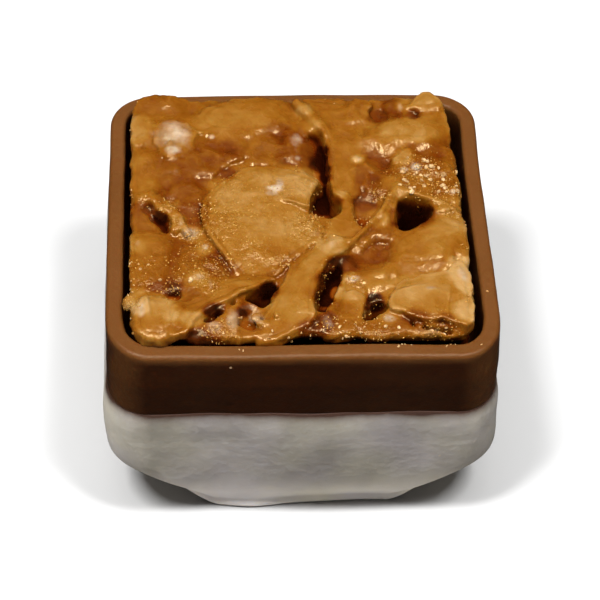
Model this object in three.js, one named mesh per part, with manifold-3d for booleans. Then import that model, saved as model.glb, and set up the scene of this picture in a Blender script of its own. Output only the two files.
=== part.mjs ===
// A square chocolate bonbon: a milk chocolate tray dipped in white chocolate, with a slab of caramelised
// almond flakes set in the tray. Millimetres, +Z up, +X to the right, +Y to the back. The origin is in the
// middle of the bonbon, on the surface that it stands on.
import * as THREE from 'three';
import { mergeVertices } from 'three/addons/utils/BufferGeometryUtils.js';
import Module from 'manifold-3d';

const wasm = await Module();
wasm.setup();

// Driving dimensions.
const TRAY_SIDE = 27; // outer width and depth of the tray
const CORNER_RADIUS = 3.4; // of the tray in plan
const RIM_HEIGHT = 16.5; // top of the rim above the table
const BAND_HEIGHT = 5.3; // milk chocolate left bare above the dip
const RIM_WALL = 1.15; // thickness of the tray's wall
const RECESS_DEPTH = 3.2; // from the rim down to the floor the slab lies on
const SLAB_WIDTH = 23.9;
const SLAB_DEPTH = 23.6;
const SLAB_OFFSET = [-0.12, -0.15]; // the slab lies a little to the left and the front of the tray's middle
const SLAB_RISE = 0.85; // the slab's own top above the rim, between the flakes
const FLAKE_THICKNESS = 0.85;
const CLEARANCE = 0.2; // between a flake and what it is bedded in

// Dimensions that follow from them.
const TRAY_HALF = TRAY_SIDE / 2;
const DIP_HEIGHT = RIM_HEIGHT - BAND_HEIGHT;
const RECESS_FLOOR = RIM_HEIGHT - RECESS_DEPTH;
const SLAB_TOP = RIM_HEIGHT + SLAB_RISE;
const RIM_ROUNDING = 0.42 * RIM_WALL;

const AROUND = 56; // facets round the tray and the base
const SIDE_SHARE = 0.2; // of each quarter of the facets, those on one half of a straight side
const ARC_STEPS = 3;

const CHOCOLATES = {
  white: new THREE.MeshStandardMaterial({ color: 0xe6dcc8, roughness: 0.5, metalness: 0 }),
  milk: new THREE.MeshStandardMaterial({ color: 0x6b3f20, roughness: 0.42, metalness: 0 }),
};
const CARAMEL = new THREE.MeshStandardMaterial({ color: 0xb5731f, roughness: 0.3, metalness: 0 });
const ALMOND = new THREE.MeshStandardMaterial({ color: 0xc98f45, roughness: 0.35, metalness: 0 });

// The point at a share of a full turn round a square with rounded corners, from the middle of its +X side.
function perimeterPoint(turn, halfSide, cornerRadius) {
  const quarter = Math.floor(turn * 4);
  const along = turn * 4 - quarter;
  const straight = halfSide - cornerRadius;
  const point = new THREE.Vector2();
  if (along < SIDE_SHARE) {
    point.set(halfSide, (straight * along) / SIDE_SHARE);
  } else if (along > 1 - SIDE_SHARE) {
    point.set((straight * (1 - along)) / SIDE_SHARE, halfSide);
  } else {
    const angle = ((along - SIDE_SHARE) / (1 - 2 * SIDE_SHARE)) * (Math.PI / 2);
    point.set(straight + cornerRadius * Math.cos(angle), straight + cornerRadius * Math.sin(angle));
  }
  return point.rotateAround(new THREE.Vector2(), (quarter * Math.PI) / 2);
}

// A profile of half widths and heights carried round the rounded square. cornerAt gives the corner radius for
// a half width and a height, waveAt how far the surface stands out at a place, and liftAt how far it is raised.
function squareLathe(profile, cornerAt, waveAt, liftAt = () => 0) {
  const geometry = new THREE.LatheGeometry(profile.getPoints(ARC_STEPS), AROUND);
  const position = geometry.getAttribute('position');
  for (let i = 0; i < position.count; i++) {
    const halfSide = Math.hypot(position.getX(i), position.getZ(i));
    const height = position.getY(i);
    const ring = Math.floor(i / (position.count / (AROUND + 1)));
    const turn = (ring % AROUND) / AROUND;
    const radius = Math.min(cornerAt(halfSide, height), halfSide);
    const point = perimeterPoint(turn, halfSide, radius);
    point.multiplyScalar(1 + (halfSide > radius ? waveAt(point, turn, height) / halfSide : 0));
    position.setXYZ(i, point.x, point.y, height + liftAt(turn, halfSide, height));
  }
  return geometry;
}

// The dip: a low wall that bulges just past the tray, rounds in below and stands on an uneven foot, with each
// corner a little off the table.
const DIP_OUTSET = 0.4;
const DIP_LIP = 0.35; // rounding of the dip's upper edge
const UNDERSIDE_HEIGHT = 0.8; // where the rounding of the wall starts, above the foot
const WALL_START = 5.8; // where the wall is upright
const FOOT_INSET = 1.5; // of the foot's edge, from the bulging wall
const FOOT_CORNER = 6.2; // corner radius in plan, low down
const CORNER_LIFT = 2; // of the foot's edge under the middle of each corner
const LIFTED_WIDTH = 2.6; // how much of the foot, from its edge inwards, rises to a corner
// Where the foot reaches out, or draws in, by how much and how far along it.
const FOOT_LOBES = [
  { at: [-3.8, -12], reach: 0.4, spread: 2.4 },
  { at: [4.5, -12], reach: -0.2, spread: 3 },
  { at: [12, -4], reach: -0.3, spread: 2.6 },
  { at: [12, 5], reach: 0.35, spread: 2.2 },
  { at: [1, 12], reach: -0.3, spread: 3 },
  { at: [-7, 12], reach: 0.3, spread: 2 },
  { at: [-12, 2], reach: 0.35, spread: 3 },
];

function footReach(point) {
  return FOOT_LOBES.reduce((sum, lobe) => {
    const away = Math.hypot(point.x - lobe.at[0], point.y - lobe.at[1]) / lobe.spread;
    return sum + lobe.reach * Math.exp(-(away ** 2));
  }, 0);
}

// The hand-dipped surface: a slow wave on the wall that fades at the upper edge, and lobes on the foot.
function dipWave(point, turn, height) {
  const onWall = THREE.MathUtils.smoothstep(DIP_HEIGHT - height, 0, 3) * THREE.MathUtils.smoothstep(height, 1, 4);
  const slow = 0.1 * Math.sin(2 * Math.PI * (3 * turn + 0.1) + 0.5 * height);
  const quick = 0.07 * Math.sin(2 * Math.PI * (7 * turn + 0.05 * height));
  const low = 1 - THREE.MathUtils.smoothstep(height, 0.2, 2.2);
  return onWall * (slow + quick) + low * footReach(point);
}

function dipCorner(halfSide, height) {
  return THREE.MathUtils.lerp(FOOT_CORNER, CORNER_RADIUS + 0.3, THREE.MathUtils.smoothstep(height, 0, 7.5));
}

// The foot is flat in the middle and along the sides, and rises to the corners.
function dipLift(turn, halfSide, height) {
  if (halfSide < TRAY_HALF - LIFTED_WIDTH) return 0;
  const along = THREE.MathUtils.clamp((((turn * 4) % 1) - SIDE_SHARE) / (1 - 2 * SIDE_SHARE), 0, 1);
  return CORNER_LIFT * Math.sin(Math.PI * along) ** 1.3 * Math.max(1 - height / WALL_START, 0);
}

function makeBase() {
  const wall = TRAY_HALF + DIP_OUTSET;
  const foot = wall - FOOT_INSET;
  const profile = new THREE.Path();
  profile.moveTo(0, 0);
  profile.lineTo(foot - LIFTED_WIDTH, 0);
  profile.lineTo(foot - 0.15, 0);
  profile.quadraticCurveTo(foot + 0.15, 0.3, foot, UNDERSIDE_HEIGHT);
  profile.quadraticCurveTo(wall - 0.1, WALL_START / 2, wall, WALL_START);
  profile.lineTo(wall, DIP_HEIGHT - 3.2);
  profile.quadraticCurveTo(wall, DIP_HEIGHT - 1, TRAY_HALF + DIP_LIP / 2, DIP_HEIGHT - DIP_LIP);
  profile.quadraticCurveTo(TRAY_HALF + DIP_LIP / 4, DIP_HEIGHT, TRAY_HALF - DIP_LIP, DIP_HEIGHT);
  profile.lineTo(0, DIP_HEIGHT);
  const mesh = new THREE.Mesh(squareLathe(profile, dipCorner, dipWave, dipLift), CHOCOLATES.white);
  mesh.name = 'white_dip_base';
  return mesh;
}

// The tray: a bare band with a rounded rim round a shallow square recess.
const RECESS_FILLET = 0.6;
const LEAST_CORNER = 1;

// The rim's wall is a little uneven, as poured chocolate is.
function rimWave(point, turn, height) {
  const high = THREE.MathUtils.smoothstep(height, RIM_HEIGHT - 2.5, RIM_HEIGHT);
  return high * (0.05 * Math.sin(2 * Math.PI * (5 * turn + 0.3)) + 0.04 * Math.sin(2 * Math.PI * (9 * turn + 0.7)));
}

function makeTray() {
  const inner = TRAY_HALF - RIM_WALL;
  const profile = new THREE.Path();
  profile.moveTo(0, DIP_HEIGHT);
  profile.lineTo(TRAY_HALF, DIP_HEIGHT);
  profile.lineTo(TRAY_HALF, RIM_HEIGHT - RIM_ROUNDING);
  profile.absarc(TRAY_HALF - RIM_ROUNDING, RIM_HEIGHT - RIM_ROUNDING, RIM_ROUNDING, 0, Math.PI / 2, false);
  profile.absarc(inner + RIM_ROUNDING, RIM_HEIGHT - RIM_ROUNDING, RIM_ROUNDING, Math.PI / 2, Math.PI, false);
  profile.lineTo(inner, RECESS_FLOOR + RECESS_FILLET);
  profile.quadraticCurveTo(inner, RECESS_FLOOR, inner - RECESS_FILLET / 2, RECESS_FLOOR);
  profile.lineTo(0, RECESS_FLOOR);
  const cornerAt = (halfSide) => Math.max(CORNER_RADIUS - TRAY_HALF + halfSide, LEAST_CORNER);
  const mesh = new THREE.Mesh(squareLathe(profile, cornerAt, rimWave), CHOCOLATES.milk);
  mesh.name = 'milk_tray';
  return mesh;
}

// Almond flakes, most of them broken. Each has its outline in plan, clockwise, from the middle of the tray, the
// height of its middle above the rim, its slope to the right and to the back, and how fast it droops both ways, per mm.
const FLAKES = {
  flake_heart: {
    outline: [[-6.8, 0.3], [-5.8, 2.8], [-3.3, 4.6], [-0.9, 4.3], [1.5, 2.6], [0.8, -0.3], [1.6, -1.4], [0, -4],
      [-1.4, -5.8], [-4.3, -5.7], [-6.2, -2.6]],
    rise: 1.6, slope: [0.02, 0.05], droop: [0.016, 0.014],
  },
  flake_curl: {
    outline: [[1.8, -3], [3.4, -3.2], [1.5, -5.6], [0.7, -8.2], [0.6, -10.3], [-1.4, -11.6], [-3.1, -10.4],
      [-1.9, -7.4], [-0.7, -5.2]],
    rise: 1.35, slope: [0.12, 0.1], droop: [0.03, 0.01],
  },
  flake_slope: {
    outline: [[-8.9, -9.6], [-7, -7.6], [-4.5, -6.4], [-2.1, -6.5], [-3.4, -7.7], [-5.1, -8.9], [-6.9, -10.2], [-8.7, -11.4]],
    rise: 0.95, slope: [0.06, -0.16], droop: [0, 0],
  },
  flake_tongue: {
    outline: [[1.9, 7.6], [0.7, 10.2], [1.6, 11.4], [4.6, 11.4], [5.6, 9.4], [5.1, 5.5], [4.3, 1.8], [3.1, 1.2], [2.3, 2.4],
      [2.3, 5]],
    rise: 1.5, slope: [0.03, 0.05], droop: [0.05, 0.008],
  },
  flake_arch_left: {
    outline: [[3.7, -2.9], [5, -1.1], [6.1, 0.9], [6.9, 1.7], [7.2, 0.7], [6.9, -0.7], [6.3, -2.1], [4.9, -3.2]],
    rise: 1.35, slope: [-0.1, 0.22], droop: [0.04, 0],
  },
  flake_arch_right: {
    outline: [[7.5, 1.8], [9.3, 1.3], [11.2, 0.3], [11.5, -0.6], [10.3, -0.7], [9, 0.7], [7.7, 1.1]],
    rise: 1.6, slope: [-0.12, 0.2], droop: [0.03, 0],
  },
  flake_right: {
    outline: [[5.9, -3.6], [7.3, -2.3], [9.4, -2.1], [11.1, -1.4], [10.9, -3.3], [10.1, -5.1], [7.9, -5.7], [6.2, -5.2]],
    rise: 1.05, slope: [0, -0.04], droop: [0.03, 0.04],
  },
  flake_front_right: {
    outline: [[5.8, -8.6], [6.3, -7.4], [7.6, -6.6], [9.2, -6.5], [11.1, -5.4], [11.5, -8], [11.1, -11], [8.6, -10.6], [6.2, -9.8]],
    rise: 0.95, slope: [0.03, 0.05], droop: [0.02, 0.02], thickness: 1.6,
  },
  flake_front_left: {
    outline: [[-11.5, -9.6], [-10.6, -8.2], [-8.8, -8.9], [-9.3, -10.4], [-9.2, -12], [-10.5, -12.3], [-11.5, -11.6]],
    rise: 0.9, slope: [-0.05, 0], droop: [0.05, 0.03], thickness: 1.3,
  },
  flake_left: {
    outline: [[-11.4, 5.6], [-9.9, 5.7], [-9, 3.6], [-9.3, 1.6], [-10.7, 0.8], [-11.5, 2.2]],
    rise: 1.15, slope: [-0.06, 0.05], droop: [0.03, 0.01],
  },
  flake_low_left: {
    outline: [[-11.5, -3], [-9.9, -2.4], [-8.7, -3.8], [-8.7, -5.8], [-9.8, -7.6], [-11.2, -7.7], [-11.6, -5.2]],
    rise: 0.8, slope: [-0.03, 0.03], droop: [0.03, 0.01],
  },
  flake_crystal: {
    outline: [[-8.3, -3.4], [-6.6, -3.1], [-5.6, -5], [-5, -6.1], [-6.4, -6.9], [-7.7, -6.3], [-8.4, -5]],
    rise: 0.9, slope: [0.08, -0.1], droop: [0.04, 0.02],
  },
  flake_back_left: {
    outline: [[-7.4, 9.5], [-6.1, 11.1], [-3.4, 11.5], [-0.9, 11.2], [-0.6, 9.4], [-2.1, 7.7], [-4.6, 7.5], [-6.5, 8.2]],
    rise: 1.3, slope: [0, 0.03], droop: [0.015, 0.02],
  },
  flake_pale: {
    outline: [[-10, 8.4], [-8.7, 9], [-7.4, 8.4], [-7.4, 6.7], [-8.6, 5.1], [-9.7, 5.7], [-10.2, 7.1]],
    rise: 1.45, slope: [0.02, 0.06], droop: [0.09, 0.04], thickness: 1.2,
  },
  flake_back_right: {
    outline: [[5.5, 7.4], [6.7, 8.4], [9.4, 8.8], [10.7, 8.2], [10.2, 6.3], [7.8, 6.1], [6.1, 6.1]],
    rise: 1.55, slope: [0, 0.12], droop: [0.02, 0.03], thickness: 1,
  },
  flake_corner: {
    outline: [[8.5, 10], [9.3, 11.2], [10.5, 11.2], [10.9, 10], [10.1, 9.1], [9.1, 9.3]],
    rise: 1.75, slope: [0.05, 0.3], droop: [0, 0],
  },
};

const FLAKE_RINGS = 5;
const PLATE_POWER = 0.4; // 1 is an ellipsoid, and 0 a plate with square edges

function middleOf(outline) {
  const sum = outline.reduce((total, [x, y]) => total.add(new THREE.Vector2(x, y)), new THREE.Vector2());
  return sum.divideScalar(outline.length);
}

// A flake as it lies in the tray, grown by a margin on every side.
function flakeGeometry(flake, margin) {
  const around = 2 * flake.outline.length;
  const geometry = new THREE.SphereGeometry(1, around, FLAKE_RINGS);
  const position = geometry.getAttribute('position');
  const halfThickness = (flake.thickness ?? FLAKE_THICKNESS) / 2 + margin;
  const edge = new THREE.CatmullRomCurve3(flake.outline.map(([x, y]) => new THREE.Vector3(x, y, 0)), true);
  const centre = middleOf(flake.outline);
  for (let i = 0; i < position.count; i++) {
    const spread = Math.hypot(position.getX(i), position.getZ(i)) ** PLATE_POWER;
    const tall = Math.sign(position.getY(i)) * Math.abs(position.getY(i)) ** PLATE_POWER;
    const share = (i % (around + 1)) / around;
    const rim = edge.getPoint((1 - share) % 1);
    const away = new THREE.Vector2(rim.x, rim.y).sub(centre);
    away.setLength(away.length() + margin).multiplyScalar(spread);
    const lean = flake.slope[0] * away.x + flake.slope[1] * away.y;
    const sag = flake.droop[0] * away.x ** 2 + flake.droop[1] * away.y ** 2;
    const height = RIM_HEIGHT + flake.rise + lean - sag + halfThickness * tall;
    position.setXYZ(i, centre.x + away.x, centre.y + away.y, height);
  }
  return geometry;
}

// A closed geometry as a solid that can be cut.
function solidOf(geometry) {
  const bare = geometry.clone();
  bare.deleteAttribute('normal');
  bare.deleteAttribute('uv');
  const merged = mergeVertices(bare, 1e-4);
  return new wasm.Manifold(
    new wasm.Mesh({
      numProp: 3,
      vertProperties: new Float32Array(merged.attributes.position.array),
      triVerts: new Uint32Array(merged.index.array),
    }),
  );
}

// The largest body of a cut solid, as a geometry.
function geometryOf(solid) {
  const body = solid.decompose().reduce((a, b) => (a.volume() > b.volume() ? a : b));
  const cut = body.getMesh();
  const geometry = new THREE.BufferGeometry();
  geometry.setAttribute('position', new THREE.BufferAttribute(cut.vertProperties, 3));
  geometry.setIndex(new THREE.BufferAttribute(cut.triVerts, 1));
  geometry.computeVertexNormals();
  return geometry;
}

// The flakes from the highest down, each cut clear of those above it, and the beds that they lie in.
function makeFlakes() {
  const beds = [];
  const highestFirst = Object.entries(FLAKES).sort(([, a], [, b]) => b.rise - a.rise);
  const meshes = highestFirst.map(([name, flake]) => {
    const whole = solidOf(flakeGeometry(flake, 0));
    const clear = beds.reduce((solid, bed) => solid.subtract(bed), whole);
    const mesh = new THREE.Mesh(geometryOf(clear), ALMOND);
    mesh.name = name;
    beds.push(solidOf(flakeGeometry(flake, CLEARANCE)));
    return mesh;
  });
  return { meshes, beds };
}

// The slab: a cut square of caramel with ragged sides and a lumpy top. It rises to the middle of each flake's
// thickness, and sinks in hollows between them.
const SLAB_FACETS = 18;
const SLAB_SIDE_FACETS = 2;
const SLAB_CORNER = 1.5; // rounding of its corners in plan
const SLAB_LEAN = 0.04; // rise of its top to the back, per mm
const SLAB_DRAFT = 0.035; // share by which it is narrower at the bottom
const SLAB_INSET = 0.2; // how far its sides stand in from its greatest width, at the middle of their waves
const LEAST_THICKNESS = 0.6; // of the slab, under a hollow
const HOLLOWS = [
  { at: [1.3, 4.4], reach: 1.1, depth: 3 },
  { at: [2, 0.7], reach: 1.1, depth: 2 },
  { at: [8.2, -0.7], reach: 1.1, depth: 3 },
  { at: [-3.2, -8.9], reach: 1.2, depth: 2.4 },
  { at: [2, -8], reach: 1.4, depth: 1.8 },
  { at: [5, -9.6], reach: 1.1, depth: 2.2 },
  { at: [-9.8, -1], reach: 1, depth: 1.8 },
];

// How far the top stands above the slab's own level at a place in plan, away from the flakes.
function lumpAt(x, y) {
  const waves = 0.16 * Math.sin(1.1 * x + 0.7 * y) + 0.13 * Math.sin(0.9 * y - 1.7 * x + 2) + SLAB_LEAN * y;
  const sunk = HOLLOWS.map((hollow) => {
    const away = Math.hypot(x - hollow.at[0], y - hollow.at[1]) / hollow.reach;
    return hollow.depth * Math.exp(-(away ** 3));
  });
  return waves - Math.max(...sunk);
}

// The middle of the flakes' thickness at a place in plan, or nothing where there is no flake.
function flakeMiddleAt(x, y, meshes) {
  const down = new THREE.Raycaster(new THREE.Vector3(x, y, 2 * RIM_HEIGHT), new THREE.Vector3(0, 0, -1));
  const heights = down.intersectObjects(meshes).map((hit) => hit.point.z);
  return heights.length > 1 ? (heights.at(0) + heights.at(-1)) / 2 : null;
}

// Where a point of the slab's square plan goes once its corners are rounded.
function roundedCorner(x, y) {
  const past = new THREE.Vector2(
    Math.max(0, Math.abs(x) - SLAB_WIDTH / 2 + SLAB_CORNER),
    Math.max(0, Math.abs(y) - SLAB_DEPTH / 2 + SLAB_CORNER),
  );
  const pull = past.x > 0 && past.y > 0 ? 1 - Math.max(past.x, past.y) / past.length() : 0;
  return new THREE.Vector2(x - Math.sign(x) * past.x * pull, y - Math.sign(y) * past.y * pull);
}

// How far in a point of the slab's side stands, from a whole half width.
function raggedness(x, y, height) {
  return SLAB_INSET + 0.11 * Math.sin(1.9 * (x - y) + 5 * height) + 0.07 * Math.sin(4.1 * (x + y) + 2);
}

function makeSlab({ meshes, beds }) {
  const geometry = new THREE.BoxGeometry(SLAB_WIDTH, SLAB_DEPTH, 1, SLAB_FACETS, SLAB_FACETS, SLAB_SIDE_FACETS);
  const position = geometry.getAttribute('position');
  for (let i = 0; i < position.count; i++) {
    const [x, y] = [position.getX(i), position.getY(i)];
    const height = position.getZ(i) + 0.5;
    const onSide = 2 * Math.max(Math.abs(x) / SLAB_WIDTH, Math.abs(y) / SLAB_DEPTH) > 1 - 1e-6;
    const inwards = onSide ? raggedness(x, y, height) / (SLAB_WIDTH / 2) : 0;
    const plan = roundedCorner(x, y).multiplyScalar((1 - inwards) * (1 - SLAB_DRAFT * (1 - height)));
    plan.add(new THREE.Vector2(...SLAB_OFFSET));
    const top = flakeMiddleAt(plan.x, plan.y, meshes) ?? SLAB_TOP + lumpAt(plan.x, plan.y);
    const thickness = Math.max(top - RECESS_FLOOR, LEAST_THICKNESS);
    position.setXYZ(i, plan.x, plan.y, RECESS_FLOOR + height * thickness);
  }
  const cut = beds.reduce((solid, bed) => solid.subtract(bed), solidOf(geometry));
  const mesh = new THREE.Mesh(geometryOf(cut), CARAMEL);
  mesh.name = 'caramel_slab';
  return mesh;
}

const bonbon = new THREE.Group();
const flakes = makeFlakes();
bonbon.add(makeBase(), makeTray(), makeSlab(flakes), ...flakes.meshes);

// The foot and the dip are uneven, so the origin is put back in the middle of what they span.
const span = new THREE.Box3().setFromObject(bonbon, true);
const middle = span.getCenter(new THREE.Vector3());
bonbon.children.forEach((mesh) => mesh.position.sub(new THREE.Vector3(middle.x, middle.y, 0)));

export default bonbon;
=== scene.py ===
"""A square praline: a milk chocolate tray dipped in white chocolate, filled with a slab of caramelised
almond flakes. The scene is in metres; the shaping below is done in millimetres from the middle of the
tray's rim, +X to the right, +Y to the back and +Z up."""

import math

import bpy
import numpy as np
from mathutils import Matrix, Vector


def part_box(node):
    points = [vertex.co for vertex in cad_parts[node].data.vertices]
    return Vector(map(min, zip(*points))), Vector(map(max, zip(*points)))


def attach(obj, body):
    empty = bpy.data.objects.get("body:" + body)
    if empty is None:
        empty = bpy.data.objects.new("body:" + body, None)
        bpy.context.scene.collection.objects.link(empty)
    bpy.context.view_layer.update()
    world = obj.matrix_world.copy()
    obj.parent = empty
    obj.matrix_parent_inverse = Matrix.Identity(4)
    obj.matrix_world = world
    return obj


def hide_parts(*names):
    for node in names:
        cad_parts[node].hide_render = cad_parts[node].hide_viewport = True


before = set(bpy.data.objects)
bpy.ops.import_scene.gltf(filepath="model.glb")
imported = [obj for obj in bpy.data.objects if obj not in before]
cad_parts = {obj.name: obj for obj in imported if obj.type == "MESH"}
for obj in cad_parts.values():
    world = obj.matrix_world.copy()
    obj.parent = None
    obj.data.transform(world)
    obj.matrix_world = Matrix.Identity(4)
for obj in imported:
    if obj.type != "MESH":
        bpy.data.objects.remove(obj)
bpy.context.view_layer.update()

MM = 0.001
tray_low, tray_high = (np.array(corner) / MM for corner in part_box("milk_tray"))
RIM_MIDDLE = np.array([*(tray_low + tray_high)[:2] / 2, tray_high[2]])
DIP = tray_low[2] - RIM_MIDDLE[2]  # the dip's edge, below the rim
TABLE = -RIM_MIDDLE[2]
TRAY_HALF = 13.6
CORNER = 3.1  # the rounding of the tray's corners in plan
WALL = 1.15  # how thick the tray's wall is at the rim
RECESS = -3.2  # the floor inside the tray

# ---------------------------------------------------------------- curves, distances and noise


def curve_through(points, per_span=6, closed=True):
    """Points along a smooth curve through the given ones."""
    p = np.array(points, float)
    n = len(p)
    spans = n if closed else n - 1
    out = []
    for i in range(spans):
        if closed:
            a, b, c, d = p[(i - 1) % n], p[i], p[(i + 1) % n], p[(i + 2) % n]
        else:
            a, b, c, d = p[max(i - 1, 0)], p[i], p[i + 1], p[min(i + 2, n - 1)]
        for t in np.arange(per_span) / per_span:
            out.append(
                0.5
                * (2 * b + (c - a) * t + (2 * a - 5 * b + 4 * c - d) * t**2 + (3 * b - a - 3 * c + d) * t**3)
            )
    if not closed:
        out.append(p[-1])
    return np.array(out)


def outline_distance(loop, x, y):
    """Distance from each place to a closed loop, negative inside it."""
    best = np.full(x.shape, 1e9)
    odd = np.zeros(x.shape, bool)
    for (ax, ay), (bx, by) in zip(loop, np.roll(loop, -1, axis=0)):
        ex, ey = bx - ax, by - ay
        t = np.clip(((x - ax) * ex + (y - ay) * ey) / max(ex * ex + ey * ey, 1e-9), 0, 1)
        best = np.minimum(best, (x - ax - t * ex) ** 2 + (y - ay - t * ey) ** 2)
        if by != ay:
            odd ^= ((ay > y) != (by > y)) & (x < ax + (y - ay) * ex / ey)
    return np.where(odd, -1, 1) * np.sqrt(best)


def merge(a, b, reach):
    """The union of two solids' fields, with a fillet of about the given reach."""
    near = np.maximum(reach - np.abs(a - b), 0) / reach
    return np.minimum(a, b) - near * near * reach / 4


def carve(a, b, reach):
    """The first solid without the second, with its new edges rounded."""
    return -merge(-a, b, reach)


def smooth_step(value, low, high):
    t = np.clip((value - low) / (high - low), 0, 1)
    return t * t * (3 - 2 * t)


def ripple(shape, step, size, seed):
    """Smooth random heights of unit spread, with bumps about the given size."""
    wild = np.random.default_rng(seed).standard_normal(shape).astype(np.float32)
    waves = np.fft.rfftn(wild)
    for axis, count in enumerate(shape):
        f = np.fft.rfftfreq(count, step) if axis == len(shape) - 1 else np.fft.fftfreq(count, step)
        across = [1] * len(shape)
        across[axis] = len(f)
        waves *= np.exp(-0.5 * (2 * np.pi * f * size / 3) ** 2).reshape(across)
    smooth = np.fft.irfftn(waves, s=shape)
    return (smooth / smooth.std()).astype(np.float32)


def blurred(field, cells):
    """A field averaged over a box of about twice the given number of cells, twice over."""
    for _ in range(2):
        for axis in range(field.ndim):
            margins = [(cells + 1, cells) if a == axis else (0, 0) for a in range(field.ndim)]
            total = np.cumsum(np.pad(field, margins, "edge"), axis=axis, dtype=np.float64)
            width = 2 * cells + 1
            high = np.take(total, np.arange(width, total.shape[axis]), axis=axis)
            low = np.take(total, np.arange(0, total.shape[axis] - width), axis=axis)
            field = ((high - low) / width).astype(np.float32)
    return field


# ---------------------------------------------------------------- grids and their surfaces


class Grid:
    """A block of space in cells, with the value of a field at each corner."""

    def __init__(self, low, high, step):
        self.low = np.array(low, float)
        self.step = step
        counts = np.ceil((np.array(high) - self.low) / step).astype(int) + 1
        self.axes = [self.low[a] + step * np.arange(counts[a]) for a in range(3)]
        self.shape = tuple(counts)

    def window(self, low, high):
        """The part of the grid between two corners in plan, as slices and its x, y and z."""
        cut = []
        for a in range(2):
            first = math.floor((low[a] - self.low[a]) / self.step)
            last = math.ceil((high[a] - self.low[a]) / self.step)
            cut.append(slice(*np.clip([first, last + 1], 0, self.shape[a])))
        x, y = self.axes[0][cut[0]][:, None], self.axes[1][cut[1]][None, :]
        return tuple(cut), np.broadcast_arrays(x, y), self.axes[2][None, None, :]

    def part(self, cut):
        """The window of the grid with the given slices, as a grid of its own."""
        low = [self.axes[a][cut[a].start] for a in range(2)] + [self.axes[2][0]]
        high = [self.axes[a][cut[a].stop - 1] for a in range(2)] + [self.axes[2][-1]]
        return Grid(low, [h - 0.01 * self.step for h in high], self.step)

    def sample(self, field, points):
        """A field's value at any points."""
        at = (points - self.low[: points.shape[1]]) / self.step
        at = np.clip(at, 0, np.array(self.shape[: at.shape[1]]) - 1.001)
        i = at.astype(int)
        f = at - i
        total = np.zeros(len(points))
        for corner in np.ndindex(*(2,) * at.shape[1]):
            weight = np.prod([f[:, a] if corner[a] else 1 - f[:, a] for a in range(at.shape[1])], axis=0)
            total += weight * field[tuple(i[:, a] + corner[a] for a in range(at.shape[1]))]
        return total


def surface_of(grid, field):
    """The closed surface where a field is zero, as points and quads that face out of its negative side."""
    inside = field < 0
    n = inside.shape
    corners = [np.array(c) for c in np.ndindex(2, 2, 2)]
    count = np.zeros([side - 1 for side in n], np.int8)
    for c in corners:
        count += inside[tuple(slice(c[a], n[a] - 1 + c[a]) for a in range(3))]
    cells = np.argwhere((count > 0) & (count < 8))
    number = np.full(count.shape, -1)
    number[tuple(cells.T)] = np.arange(len(cells))
    total = np.zeros((len(cells), 3))
    hits = np.zeros(len(cells))
    for c in corners:
        for axis in range(3):
            if c[axis]:
                continue
            d = c.copy()
            d[axis] = 1
            a = field[tuple((cells + c).T)]
            b = field[tuple((cells + d).T)]
            crosses = (a < 0) != (b < 0)
            share = np.where(crosses, a / np.where(crosses, a - b, 1), 0)
            total += np.where(crosses[:, None], c + share[:, None] * (d - c), 0)
            hits += crosses
    points = grid.low + grid.step * (cells + total / hits[:, None])
    quads = []
    for axis in range(3):
        u, v = (axis + 1) % 3, (axis + 2) % 3
        first = [slice(1, n[a] - 1) for a in range(3)]
        second = [slice(1, n[a] - 1) for a in range(3)]
        first[axis], second[axis] = slice(0, n[axis] - 1), slice(1, n[axis])
        a, b = inside[tuple(first)], inside[tuple(second)]
        for out, turned in ((a & ~b, False), (b & ~a, True)):
            at = np.argwhere(out)
            at[:, u] += 1
            at[:, v] += 1
            ring = []
            for du, dv in ((-1, -1), (0, -1), (0, 0), (-1, 0)):
                cell = at.copy()
                cell[:, u] += du
                cell[:, v] += dv
                ring.append(number[tuple(cell.T)])
            quads.append(np.stack(ring[::-1] if turned else ring, axis=1))
    return points, np.concatenate(quads)


def relaxed(points, quads, passes):
    """Points moved towards the middle of their neighbours and part of the way back, so nothing shrinks."""
    ends = np.concatenate([quads[:, [a, (a + 1) % 4]] for a in range(4)])
    degree = np.bincount(ends.ravel(), minlength=len(points)).astype(float)
    for _ in range(passes):
        for share in (0.5, -0.52):
            middle = np.stack(
                [
                    np.bincount(ends[:, 0], points[ends[:, 1], a], len(points))
                    + np.bincount(ends[:, 1], points[ends[:, 0], a], len(points))
                    for a in range(3)
                ],
                axis=1,
            )
            points = points + share * (middle / degree[:, None] - points)
    return points


def make_object(name, points, faces, material):
    """An object whose mesh has the given points, in millimetres from the rim's middle."""
    mesh = bpy.data.meshes.new(name)
    mesh.from_pydata(((points + RIM_MIDDLE) * MM).tolist(), [], faces)
    mesh.shade_smooth()
    mesh.materials.append(material)
    piece = bpy.data.objects.new(name, mesh)
    bpy.context.scene.collection.objects.link(piece)
    return piece


def with_modifiers_applied(piece):
    """The same object, with its modifiers made into its mesh."""
    graph = bpy.context.evaluated_depsgraph_get()
    graph.update()
    mesh = bpy.data.meshes.new_from_object(piece.evaluated_get(graph), depsgraph=graph)
    piece.modifiers.clear()
    old = piece.data
    piece.data = mesh
    bpy.data.meshes.remove(old)
    mesh.name = piece.name
    return piece


def thinned(piece, triangles):
    """Merges the least needed edges until about so many triangles are left."""
    now = sum(len(f.vertices) - 2 for f in piece.data.polygons)
    if now > triangles:
        thin = piece.modifiers.new("thin", "DECIMATE")
        thin.ratio = triangles / now
        with_modifiers_applied(piece)
        piece.data.shade_smooth()
    return piece


def points_of(piece):
    """A piece's points, in millimetres from the rim's middle."""
    flat = np.zeros(3 * len(piece.data.vertices))
    piece.data.vertices.foreach_get("co", flat)
    return flat.reshape(-1, 3) / MM - RIM_MIDDLE


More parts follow.
